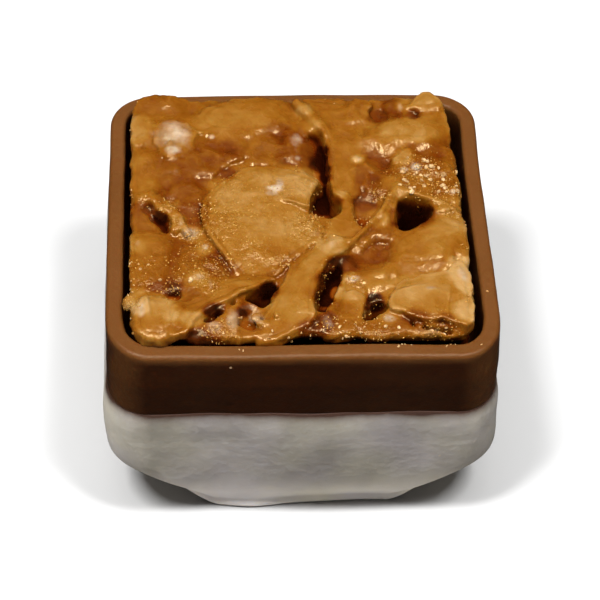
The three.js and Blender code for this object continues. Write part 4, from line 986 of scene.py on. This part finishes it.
def make_topping_material(name, lighter=0.0, pits=0.0, gloss=0.45, green=1.0):
    """Caramel over almond: amber where it is thick, pale where a flake's edge or face shows through.

    It is painted with shade as well: darker deep in hollows and in creases, lighter on ridges, and its tone
    holds painted shade and painted highlights. It can be lighter all over, pitted and more or less glossy.
    With green under 1 it is redder."""
    material, tree, links, shader = new_material(name)
    coords = place_on_piece(tree)
    names = ("depth", "fold", "tone", "sugar_and_highlight", "sugar")
    depth, fold, tone, sugar_and_highlight, sugar = (painted(tree, key) for key in names)
    cloud = mottled(tree, coords, 520, 4)
    streak = mottled(tree, coords, 1500, 3, 0.6)
    grain = mottled(tree, coords, 4200, 2, 0.6)

    # Painted shade: darker the deeper a place lies below the top round it, partly for the thicker caramel
    # there, and darker in creases and lighter on ridges by how folded in it is.
    deep = remapped(tree, depth, 0.15, 1.2)
    raised = remapped(tree, fold, 0.66, 0.36)
    light = joined(tree, "MULTIPLY_ADD", raised, 0.26, -0.13 + lighter)
    light = joined(tree, "ADD", light, tone)
    for change, share in ((deep, -0.4), (cloud, 0.07), (streak, 0.05)):
        light = joined(tree, "MULTIPLY_ADD", change, share, light)
    light = joined(tree, "MAXIMUM", light, 0.0)
    ramp = add_node(tree, "ShaderNodeValToRGB")
    stops = ramp.color_ramp.elements
    for place, _ in CARAMEL_TONES[1:-1]:
        stops.new(place)
    for stop, (_, colour) in zip(stops, CARAMEL_TONES):
        stop.color = (colour[0], green * colour[1], colour[2], 1)
    links.new(light, ramp.inputs["Fac"])
    # Pale spots: sugar set in the caramel, and painted highlights where the caramel shines white.
    pale_mix = remapped(tree, mottled(tree, coords, 900), -0.5, 0.6)
    sugar_and_highlight_colour = coloured(tree, pale_mix, (0.19, 0.115, 0.058), (0.37, 0.28, 0.19))
    patchy = joined(tree, "MULTIPLY_ADD", mottled(tree, coords, 800), 0.3, sugar_and_highlight)
    sugar_and_highlight_share = joined(tree, "MULTIPLY", remapped(tree, patchy, 0.3, 0.85), sugar_and_highlight, clamp=True)
    links.new(coloured(tree, sugar_and_highlight_share, ramp.outputs["Color"], sugar_and_highlight_colour), shader.inputs["Base Color"])

    rough = remapped(tree, cloud, -0.7, 0.7, 0.23, 0.37)
    links.new(joined(tree, "MULTIPLY_ADD", sugar, -0.05, rough), shader.inputs["Roughness"])
    crease = joined(tree, "ABSOLUTE", mottled(tree, coords, 1100, 2))
    fine = joined(tree, "MULTIPLY", grain, joined(tree, "MULTIPLY_ADD", sugar, 0.5, 0.04))
    fine = joined(tree, "MULTIPLY_ADD", crease, 0.38, fine)
    if pits:
        lines = mottled(tree, coords, 1900, 2, 0.5, math.radians(-35), (1.0, 0.28, 1.0))
        fine = joined(tree, "MULTIPLY_ADD", lines, pits, fine)
    add_bump(tree, shader, joined(tree, "MULTIPLY_ADD", streak, 0.12, fine), 1.0, 0.00005)
    let_light_in(shader, 0.45, (1.0, 0.42, 0.12), 0.0004)
    set_constants(shader, {"IOR": 1.47, "Specular IOR Level": gloss, "Specular Tint": (1.0, 0.72, 0.38, 1)})
    return material


def make_milk_chocolate():
    """Dark and satin, with a few stray specks. Its rim's top and its corners are painted lighter: painted
    light where the lamps fall on the rim, and a painted sheen on the corners.
    """
    material, tree, links, shader = new_material("milk_chocolate")
    coords = place_on_piece(tree)
    cloud = mottled(tree, coords, 170, 4)
    fine = mottled(tree, coords, 1600)
    painted_rim_light = painted(tree, "painted_rim_light")
    brown = coloured(tree, remapped(tree, cloud, -1, 1), (0.0195, 0.0049, 0.0012), (0.015, 0.0039, 0.0010))
    # Painted light: towards a lighter brown on the rim's top and round the corners.
    painted_rim_light_share = joined(tree, "MULTIPLY_ADD", cloud, 0.1, painted_rim_light, clamp=True)
    brown = coloured(tree, painted_rim_light_share, brown, (0.082, 0.028, 0.0055))
    brown = coloured(tree, specked(tree, coords, 420, 0.045), brown, (0.22, 0.13, 0.07))
    links.new(brown, shader.inputs["Base Color"])
    rough = remapped(tree, cloud, -1, 1, 0.3, 0.42)
    links.new(joined(tree, "MULTIPLY_ADD", painted_rim_light, 0.1, rough), shader.inputs["Roughness"])
    add_bump(tree, shader, joined(tree, "MULTIPLY_ADD", cloud, 3.0, fine), 0.5, 0.00003)
    let_light_in(shader, 0.3, (1.0, 0.35, 0.15), 0.0006)
    set_constants(shader, {"Specular IOR Level": 0.22, "Specular Tint": (1.0, 0.85, 0.65, 1)})
    return material


def make_white_chocolate():
    """Greyish white, mottled, with the milk chocolate showing through where the dip thins out at its edge.
    It is painted with shade too: darker from the foot upwards, and lighter on its far left side.
    """
    material, tree, links, shader = new_material("white_chocolate")
    coords = place_on_piece(tree)
    place = add_node(tree, "ShaderNodeSeparateXYZ")
    links.new(coords, place.inputs[0])
    cloud = mottled(tree, coords, 150)
    smear = mottled(tree, coords, 260, 4, 0.5, 0, (1.0, 1.0, 0.6))
    fine = mottled(tree, coords, 1500)
    patchy = remapped(tree, cloud, -0.6, 0.6)
    # Painted shade: pale is the lit white and thick a shaded copy of it. The shaded share grows from the foot
    # upwards, and the far left side is painted lighter.
    pale = coloured(tree, patchy, (0.63, 0.59, 0.575), (0.65, 0.605, 0.52))
    thick = coloured(tree, patchy, (0.178, 0.160, 0.156), (0.182, 0.167, 0.136))
    painted_shade_share = remapped(tree, place.outputs["Z"], 0.0018, 0.0058, 0.0, 0.85)
    left = remapped(tree, place.outputs["X"], -0.0105, -0.0135)
    painted_shade_share = joined(tree, "MULTIPLY_ADD", left, -0.45, painted_shade_share)
    painted_shade_share = joined(tree, "MULTIPLY_ADD", smear, 0.12, painted_shade_share, clamp=True)
    white = coloured(tree, painted_shade_share, pale, thick)
    edge = (DIP + RIM_MIDDLE[2]) * MM
    rise = joined(tree, "MULTIPLY_ADD", cloud, 0.00025, place.outputs["Z"])
    rise = joined(tree, "MULTIPLY_ADD", fine, 0.00003, rise)
    near_edge = remapped(tree, rise, edge - 0.0011, edge - 0.00005)
    white = coloured(tree, joined(tree, "POWER", near_edge, 2.2), white, (0.045, 0.021, 0.014))
    white = coloured(tree, specked(tree, coords, 500, 0.05), white, (0.3, 0.25, 0.2))
    links.new(white, shader.inputs["Base Color"])
    links.new(remapped(tree, cloud, -1, 1, 0.38, 0.55), shader.inputs["Roughness"])
    add_bump(tree, shader, joined(tree, "MULTIPLY_ADD", smear, 1.2, fine), 0.6, 0.00002)
    let_light_in(shader, 0.35, (1.0, 0.75, 0.5), 0.0006)
    set_constants(shader, {"Specular IOR Level": 0.25})
    return material


def make_grain(name, low, high, roughness, size):
    """Small clear or pale bits, each a little different along its length."""
    material, tree, links, shader = new_material(name)
    coords = place_on_piece(tree)
    shade = remapped(tree, mottled(tree, coords, 1000 / size, 2), -0.7, 0.7)
    links.new(coloured(tree, shade, low, high), shader.inputs["Base Color"])
    fine = mottled(tree, coords, 4000 / size, 2)
    links.new(remapped(tree, fine, -1, 1, roughness, roughness + 0.15), shader.inputs["Roughness"])
    add_bump(tree, shader, fine, 0.4, 0.00001)
    let_light_in(shader, 0.3, (1.0, 0.6, 0.3), 0.0002)
    set_constants(shader, {"Specular Tint": (1.0, 0.76, 0.42, 1)})
    return material


SUGAR_GRAIN = make_grain("sugar_grain", (0.16, 0.064, 0.008), (0.38, 0.20, 0.05), 0.1, 0.25)
PEARL = make_grain("sugar_pearl", (0.22, 0.115, 0.04), (0.48, 0.32, 0.16), 0.36, 0.4)
CRUMB = make_grain("almond_crumb", (0.24, 0.11, 0.025), (0.48, 0.31, 0.15), 0.3, 0.5)
CARAMEL = make_topping_material("caramel", lighter=-0.02)
# In the hollows the caramel has no gloss and is painted redder, as part of the painted shade there.
DEEP_CARAMEL = make_topping_material("caramel_in_hollows", lighter=0.03, gloss=0.0, green=0.82)
ALMOND = make_topping_material("almond", lighter=0.01)
PITTED_ALMOND = make_topping_material("almond_pitted", lighter=0.06, pits=0.26)
MILK = make_milk_chocolate()
WHITE = make_white_chocolate()

# ---------------------------------------------------------------- the topping's pieces

DEEP = 0.28  # below the top round it, where a hollow no longer shines


def dull_hollows(piece):
    """Gives the faces deep in the hollows a material of their own, without gloss and painted redder, as part
    of the painted shade there.
    """
    mesh = piece.data
    mesh.materials.append(DEEP_CARAMEL)
    depth = np.zeros(len(mesh.vertices))
    mesh.attributes["depth"].data.foreach_get("value", depth)
    corners = np.zeros(len(mesh.loops), np.int32)
    mesh.loops.foreach_get("vertex_index", corners)
    starts = np.zeros(len(mesh.polygons), np.int32)
    mesh.polygons.foreach_get("loop_start", starts)
    mesh.polygons.foreach_set("material_index", (depth[corners[starts]] > DEEP).astype(np.int32))


def make_topping_piece(name, grid, field, material, triangles):
    """A piece of the topping from its field, thinned and painted."""
    points, quads = surface_of(grid, field)
    piece = make_object(name, relaxed(points, quads, 1), quads.tolist(), material)
    thinned(piece, triangles)
    paint_topping(piece)
    dull_hollows(piece)
    return piece


def make_flake(name, shape):
    """The part of the topping over a flake, a hair above the caramel and sinking into it at its outline."""
    cut, (u, v), w = whole.window(*span_of(outline_of(shape), 0.3))
    flat = outline_distance(outline_of(shape), u, v)[..., None]
    raised = 0.028 - 0.075 * smooth_step(flat, -0.7, -0.05)
    bottom = (height_over(shape, u, v) - shape["thick"])[..., None]
    field = np.maximum(everything[cut] - raised, np.maximum(flat + 0.02, bottom - w))
    field[[0, -1]] = field[:, [0, -1]] = field[:, :, [0, -1]] = 1.0
    material = PITTED_ALMOND if "heart" in name else ALMOND
    return make_topping_piece(name + "_glazed", whole.part(cut), field, material, FLAKE_TRIANGLES)


caramel = make_topping_piece("caramel_topping", whole, everything, CARAMEL, TOPPING_TRIANGLES)
pieces = [(caramel, "caramel", ["caramel_slab"])]
pieces += [(make_flake(name, shape), "almond", [name]) for name, shape in FLAKES.items()]

# ---------------------------------------------------------------- sugar grains and crumbs


FULL_TURN = 6.283


def make_scatter():
    """Geometry nodes that set small turned grains on a surface, as densely as one of its attributes says."""
    tree = bpy.data.node_groups.new("scattered_grains", "GeometryNodeTree")
    sockets = {}
    for name, kind, value in (
        ("Surface", "NodeSocketGeometry", None),
        ("Where", "NodeSocketString", "sugar"),
        ("Per square metre", "NodeSocketFloat", 4e6),
        ("Smallest", "NodeSocketFloat", 0.00004),
        ("Largest", "NodeSocketFloat", 0.0001),
        ("Flatness", "NodeSocketFloat", 0.7),
        ("Seed", "NodeSocketInt", 1),
        ("Material", "NodeSocketMaterial", None),
    ):
        socket = tree.interface.new_socket(name, in_out="INPUT", socket_type=kind)
        sockets[name] = socket.identifier
        if value is not None:
            socket.default_value = value
    tree.interface.new_socket("Grains", in_out="OUTPUT", socket_type="NodeSocketGeometry")
    nodes, links = tree.nodes, tree.links
    start, end = nodes.new("NodeGroupInput"), nodes.new("NodeGroupOutput")
    where = add_node(tree, "GeometryNodeInputNamedAttribute", data_type="FLOAT")
    links.new(start.outputs["Where"], where.inputs["Name"])
    dense = joined(tree, "MULTIPLY", where.outputs["Attribute"], start.outputs["Per square metre"])
    spots = nodes.new("GeometryNodeDistributePointsOnFaces")
    links.new(start.outputs["Surface"], spots.inputs["Mesh"])
    links.new(dense, spots.inputs["Density"])
    links.new(start.outputs["Seed"], spots.inputs["Seed"])
    grain = add_node(tree, "GeometryNodeMeshIcoSphere", {"Radius": 1.0, "Subdivisions": 1})
    size = add_node(tree, "FunctionNodeRandomValue", data_type="FLOAT")
    links.new(start.outputs["Smallest"], size.inputs[2])
    links.new(start.outputs["Largest"], size.inputs[3])
    links.new(start.outputs["Seed"], size.inputs["Seed"])
    turn = add_node(tree, "FunctionNodeRandomValue", data_type="FLOAT_VECTOR")
    turn.inputs[1].default_value = (FULL_TURN, FULL_TURN, FULL_TURN)
    links.new(start.outputs["Seed"], turn.inputs["Seed"])
    shape = nodes.new("ShaderNodeCombineXYZ")
    links.new(size.outputs[1], shape.inputs["X"])
    links.new(joined(tree, "MULTIPLY", size.outputs[1], 1.3), shape.inputs["Y"])
    links.new(joined(tree, "MULTIPLY", size.outputs[1], start.outputs["Flatness"]), shape.inputs["Z"])
    placed = nodes.new("GeometryNodeInstanceOnPoints")
    links.new(spots.outputs["Points"], placed.inputs["Points"])
    links.new(grain.outputs["Mesh"], placed.inputs["Instance"])
    links.new(turn.outputs[0], placed.inputs["Rotation"])
    links.new(shape.outputs["Vector"], placed.inputs["Scale"])
    real = nodes.new("GeometryNodeRealizeInstances")
    links.new(placed.outputs["Instances"], real.inputs["Geometry"])
    dressed = nodes.new("GeometryNodeSetMaterial")
    links.new(real.outputs["Geometry"], dressed.inputs["Geometry"])
    links.new(start.outputs["Material"], dressed.inputs["Material"])
    links.new(dressed.outputs["Geometry"], end.inputs[0])
    return tree, sockets


def scattered(name, surface, material, **settings):
    """A piece of grains scattered over a copy of another piece's surface."""
    piece = bpy.data.objects.new(name, surface.data.copy())
    bpy.context.scene.collection.objects.link(piece)
    grains = piece.modifiers.new("grains", "NODES")
    grains.node_group = SCATTER
    for key, value in settings.items():
        grains[SCATTER_INPUTS[key.replace("_", " ")]] = value
    grains[SCATTER_INPUTS["Material"]] = material
    with_modifiers_applied(piece)
    return piece


SCATTER, SCATTER_INPUTS = make_scatter()
for name, material, slot, settings in (
    ("sugar_grains", SUGAR_GRAIN, "caramel",
     dict(Where="sugar", Per_square_metre=2.4e7, Smallest=0.00002, Largest=0.00008, Seed=4)),
    ("almond_crumbs", CRUMB, "almond",
     dict(Where="crumbly", Per_square_metre=2.6e6, Smallest=0.00005, Largest=0.00014, Flatness=0.5, Seed=11)),
    ("sugar_pearls", PEARL, "caramel",
     dict(Where="pearly", Per_square_metre=3.2e6, Smallest=0.00007, Largest=0.0002, Flatness=0.9, Seed=8)),
):
    pieces.append((scattered(name, caramel, material, **settings), slot, []))

# ---------------------------------------------------------------- tray and dip


def around(turn, half, corner, share=0.2):
    """At each share of a turn round a rounded square: the place, the way out and how near a corner it is."""
    quarter = np.floor(turn * 4)
    along = turn * 4 - quarter
    straight = half - corner
    angle = np.clip((along - share) / (1 - 2 * share), 0, 1) * np.pi / 2
    x = straight + corner * np.cos(angle)
    y = straight + corner * np.sin(angle)
    y = np.where(along < share, straight * along / share, y)
    x = np.where(along > 1 - share, straight * (1 - along) / share, x)
    c, s = np.cos(quarter * np.pi / 2), np.sin(quarter * np.pi / 2)
    out_x, out_y = np.cos(angle), np.sin(angle)
    return c * x - s * y, s * x + c * y, c * out_x - s * out_y, s * out_x + c * out_y, np.sin(2 * angle)


def arc(cx, cz, rx, rz, start, end, steps):
    """Points on an arc of an ellipse, in degrees."""
    t = np.radians(np.linspace(start, end, steps))
    return [(cx + rx * math.cos(a), cz + rz * math.sin(a)) for a in t]


ROUNDEST = 0.85  # the largest corner, as a share of half a square's width, so that it keeps straight sides


def sweep(name, profile, corner_at, shape_at, material, count=400):
    """A closed skin swept round the rounded square. The profile starts and ends on the axis."""
    turn = np.arange(count) / count
    rows = []
    for half, z in profile[1:-1]:
        x, y, nx, ny, near = around(turn, half, min(corner_at(half, z), ROUNDEST * half))
        out, up, across = shape_at(x, y, z, half, near)
        rows.append(np.stack([x + nx * out + across, y + ny * out, z + up], axis=1))
    points = np.concatenate([[[0, 0, profile[0][1]]], *rows, [[0, 0, profile[-1][1]]]])
    faces = []
    for r in range(len(rows) - 1):
        for i in range(count):
            a, b = 1 + r * count + i, 1 + r * count + (i + 1) % count
            faces.append((a, b, b + count, a + count))
    last = len(points) - 1
    faces += [(0, 1 + (i + 1) % count, 1 + i) for i in range(count)]
    faces += [(last, last - count + i, last - count + (i + 1) % count) for i in range(count)]
    return make_object(name, points, faces, material)


def tray_profile():
    inner = TRAY_HALF - WALL
    p = [(0, DIP - 0.1), (TRAY_HALF - 0.6, DIP - 0.1)]
    p += arc(TRAY_HALF - 0.1, DIP, 0.1, 0.1, -90, 0, 4)
    p += [(TRAY_HALF, z) for z in np.linspace(DIP + 0.2, -0.46, 18)]
    p += arc(TRAY_HALF - 0.32, -0.32, 0.32, 0.32, 4, 90, 14)
    p += [(TRAY_HALF - s, 0.0) for s in np.linspace(0.42, WALL - 0.36, 4)]
    p += arc(inner + 0.3, -0.3, 0.3, 0.3, 90, 180, 10)
    p += [(inner - 0.02 * k, z) for k, z in enumerate(np.linspace(-0.5, RECESS + 0.6, 9))]
    p += arc(inner - 0.75, RECESS + 0.55, 0.55, 0.55, 0, -90, 6)
    p += [(h, RECESS) for h in (10, 8, 6, 4, 2)] + [(0, RECESS)]
    return p


def waves(x, y, sizes, seed):
    """Gentle unevenness: the sum of one wave per (length, height), each running its own way over the plan."""
    total = 0 * x
    for k, (length, height) in enumerate(sizes):
        way = 2.4 * k + seed
        along = x * math.cos(way) + y * math.sin(way)
        total = total + height * np.sin(2 * np.pi * along / length + 1.7 * k + 3 * seed)
    return total


RIM_WAVES = [(23, 0.05), (14, 0.04), (6, 0.012), (3.1, 0.006)]
INNER_WALL = TRAY_HALF - 0.7  # what is nearer the middle than this belongs to the tray's inside


def tray_shape(x, y, z, half, _near):
    """How far out, up and across the tray's points are moved. Its front wall leans in."""
    high = np.clip((z + 2.5) / 2.5, 0, 1)
    inner = (half < INNER_WALL) * smooth_step(-y, 9, 12)
    back = smooth_step(y, 6, 13)
    front = smooth_step(-y, 9, 12.5) * (half > INNER_WALL)
    lean = waves(x, y, RIM_WAVES, 0.3) - 0.5 * inner + 0.14 * back * smooth_step(x, -8, 6) - 0.38 * front
    return high * lean, high * waves(x, y, RIM_WAVES, 1.4) * (z > -1.5), 0.0


def tray_corner(half, z):
    return max(CORNER - TRAY_HALF + half, 1.2)


tray = sweep("milk_chocolate_tray", tray_profile(), tray_corner, tray_shape, MILK)
pieces.append((tray, "milk_chocolate", ["milk_tray"]))
on_tray = points_of(tray)
# Painted light: the rim's top is marked fully and the corners partly, where the milk chocolate is painted
# lighter.
corner_near = np.minimum(np.abs(on_tray[:, 0]), np.abs(on_tray[:, 1]))
corner_near = smooth_step(corner_near, TRAY_HALF - 3.2, TRAY_HALF - 1.0)
paint(tray, "painted_rim_light", np.maximum(smooth_step(on_tray[:, 2], -0.8, -0.05), 0.55 * corner_near))

DIP_WALL = TRAY_HALF + 0.4
FOOT_IN = 1.65  # how far the foot is drawn in from the wall
FOOT = DIP_WALL - FOOT_IN
UNDERSIDE, WALL_START = 0.8, 5.8  # heights over the table
LOW_CORNER = 6.2  # the rounding of the foot's corners in plan
FOOT_LOBES = [
    (-3.8, -12, 0.4, 2.4), (4.5, -12, -0.2, 3), (12, -4, -0.3, 2.6), (12, 5, 0.35, 2.2), (1, 12, -0.3, 3),
    (-7, 12, 0.3, 2), (-12, 2, 0.35, 3),
]


def dip_profile():
    t = TABLE
    p = [(0, t)] + [(h, t) for h in (3, 6, FOOT - 2.6)]
    p += [(FOOT - 2.6 + 2.2 * s, t) for s in (0.25, 0.5, 0.75, 0.9)]
    p += arc(FOOT - 0.25, t + 0.3, 0.3, 0.3, -90, 0, 8)
    p += [(FOOT + 0.03, t + 0.5), (FOOT, t + 0.65)]
    for s in np.linspace(0, 1, 26):
        p.append((DIP_WALL - FOOT_IN * (1 - s) ** 1.8, t + UNDERSIDE + (WALL_START - UNDERSIDE) * s))
    p += [(DIP_WALL, z) for z in np.linspace(t + WALL_START + 0.4, DIP - 3.0, 8)]
    thinning = 2.85 * np.linspace(1, 0, 22) ** 1.4
    p += [(TRAY_HALF + 0.04 + 0.36 * (1 - math.exp(-d / 0.9)), DIP - d) for d in thinning]
    p += [(TRAY_HALF - 0.03, DIP + 0.06), (TRAY_HALF - 0.15, DIP + 0.12), (TRAY_HALF - 0.5, DIP + 0.15)]
    p += [(h, DIP + 0.15) for h in (12, 9, 5)] + [(0, DIP + 0.15)]
    return p


def dip_corner(half, z):
    return LOW_CORNER + (CORNER + 0.3 - LOW_CORNER) * float(smooth_step(z - TABLE, 0, 7.5))


def dip_shape(x, y, z, half, near):
    """How far out, up and across the dip's points are moved, by waves, lobes and lifted corners."""
    height = z - TABLE
    on_wall = smooth_step(DIP - z, 0, 3) * smooth_step(height, 1, 4)
    uneven = waves(x + 0.4 * height, y, [(19, 0.1), (11, 0.06), (6.5, 0.03)], 0.1)
    uneven = uneven + waves(x - 1.1 * height, y + 1.3 * height, [(9, 0.05), (5.3, 0.02)], 0.8)
    low = 1 - smooth_step(height, 0.2, 2.2)
    reach = sum(r * np.exp(-((x - lx) ** 2 + (y - ly) ** 2) / s**2) for lx, ly, r, s in FOOT_LOBES)
    lip = np.exp(-(((height - 0.35) / 0.35) ** 2)) * (0.1 + waves(x, y, [(7, 0.05), (3.3, 0.03)], 2.0))
    lift = 2.0 * near**1.3 * max(1 - height / WALL_START, 0) if half > TRAY_HALF - 2.6 else 0 * near
    up = lift + waves(x, y, [(12, 0.07), (5, 0.04), (2.3, 0.02)], 0.5) * smooth_step(z, DIP - 1.5, DIP)
    return on_wall * uneven + low * reach + lip, up, 0.26 * (1 - float(smooth_step(height, 4, 10)))


# Where crumbs lie on the tray's rim.
RIM_SPOTS = [
    (1.07, -11.94), (3.0, -11.97), (6.69, -12.06), (9.82, -12.09), (12.02, -12.38), (-4.4, -12.6),
    (12.9, -7.0),
]
crumbly = places_near(on_tray[:, 0], on_tray[:, 1], [(sx, sy, 0.25, 0.25, 1) for sx, sy in RIM_SPOTS])
paint(tray, "crumbly", np.where(on_tray[:, 2] > -0.9, crumbly, 0))
settings = dict(Where="crumbly", Per_square_metre=1.6e7, Smallest=0.00004, Largest=0.00009, Flatness=0.6)
pieces.append((scattered("rim_crumbs", tray, CRUMB, Seed=2, **settings), "almond", []))

base = sweep("white_chocolate_dip", dip_profile(), dip_corner, dip_shape, WHITE)
pieces.append((base, "white_chocolate", ["white_dip_base"]))

for piece, slot, replaced in pieces:
    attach(piece, "root")
    if replaced:
        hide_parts(*replaced)

# ---------------------------------------------------------------- stage, lights and camera


def make_floor():
    """A grey floor, which the camera, the gloss and the light on the bonbon each see in a tone of its own."""
    mesh = bpy.data.meshes.new("floor")
    mesh.from_pydata([(-2, -2, 0), (2, -2, 0), (2, 2, 0), (-2, 2, 0)], [], [(0, 1, 2, 3)])
    floor = bpy.data.objects.new("floor", mesh)
    bpy.context.scene.collection.objects.link(floor)
    material, tree, links, shader = new_material("floor_white")
    tree.nodes.remove(shader)
    seen, lit, mirrored = (
        add_node(tree, "ShaderNodeBsdfDiffuse", {"Color": (*colour, 1)}).outputs[0]
        for colour in ((0.45, 0.45, 0.45), (0.35, 0.34, 0.325), (0.015, 0.014, 0.013))
    )
    path = add_node(tree, "ShaderNodeLightPath")
    finish = lit
    for ray, other in (("Is Glossy Ray", mirrored), ("Is Camera Ray", seen)):
        mix = add_node(tree, "ShaderNodeMixShader")
        links.new(path.outputs[ray], mix.inputs["Fac"])
        links.new(finish, mix.inputs[1])
        links.new(other, mix.inputs[2])
        finish = mix.outputs[0]
    links.new(finish, tree.nodes["Material Output"].inputs["Surface"])
    mesh.materials.append(material)
    return floor


floor = make_floor()


def add_light(name, way, distance, size, power, glossy=True):
    """A rectangular lamp that shines on the bonbon from the given way."""
    light = bpy.data.lights.new(name, "AREA")
    light.shape = "RECTANGLE"
    light.size, light.size_y = size
    light.energy = power
    lamp = bpy.data.objects.new(name, light)
    way = Vector(way).normalized()
    lamp.location = way * distance + Vector((0, 0, 0.015))
    lamp.rotation_euler = way.to_track_quat("Z", "Y").to_euler()
    lamp.visible_glossy = glossy
    bpy.context.scene.collection.objects.link(lamp)


add_light("right_lamp", (0.30, -0.22, 0.92), 0.4, (0.06, 0.1), 1.75)
add_light("left_lamp", (-0.34, -0.22, 0.91), 0.4, (0.06, 0.1), 2.25)
add_light("overhead_softbox", (0.0, 0.0, 1.0), 0.45, (0.3, 0.3), 1.4, glossy=False)
add_light("back_softbox", (0.0, 0.8, 1.0), 0.45, (0.1, 0.05), 0.03)
add_light("front_softbox", (0.0, -1.0, 0.25), 0.45, (0.4, 0.2), 0.12, glossy=False)

world = bpy.data.worlds.new("room")
world.use_nodes = True
world.node_tree.nodes["Background"].inputs["Color"].default_value = (1, 0.98, 0.96, 1)
world.node_tree.nodes["Background"].inputs["Strength"].default_value = 0.01
bpy.context.scene.world = world
bpy.context.scene.view_settings.view_transform = "Standard"

ELEVATION, YAW, ROLL = (math.radians(a) for a in (46.0, 3.89, 2.34))
DISTANCE, ACROSS, UPWARDS = 173.8, 0.11, -5.64
SENSOR, LENS = 36, 146.04


def add_camera():
    """The camera, which looks down at the bonbon from the front."""
    level = math.cos(ELEVATION)
    forward = Vector((math.sin(YAW) * level, math.cos(YAW) * level, -math.sin(ELEVATION)))
    level_right = Vector((math.cos(YAW), -math.sin(YAW), 0))
    level_up = level_right.cross(forward)
    right = math.cos(ROLL) * level_right + math.sin(ROLL) * level_up
    up = -math.sin(ROLL) * level_right + math.cos(ROLL) * level_up
    place = -DISTANCE * forward + ACROSS * right + UPWARDS * up + Vector(RIM_MIDDLE)
    data = bpy.data.cameras.new("camera")
    data.sensor_width = SENSOR
    data.lens = LENS
    data.clip_start = 0.01
    camera = bpy.data.objects.new("camera", data)
    turned = Matrix((right, up, -forward)).transposed().to_4x4()
    camera.matrix_world = Matrix.Translation(place * MM) @ turned
    bpy.context.scene.collection.objects.link(camera)
    bpy.context.scene.camera = camera


add_camera()
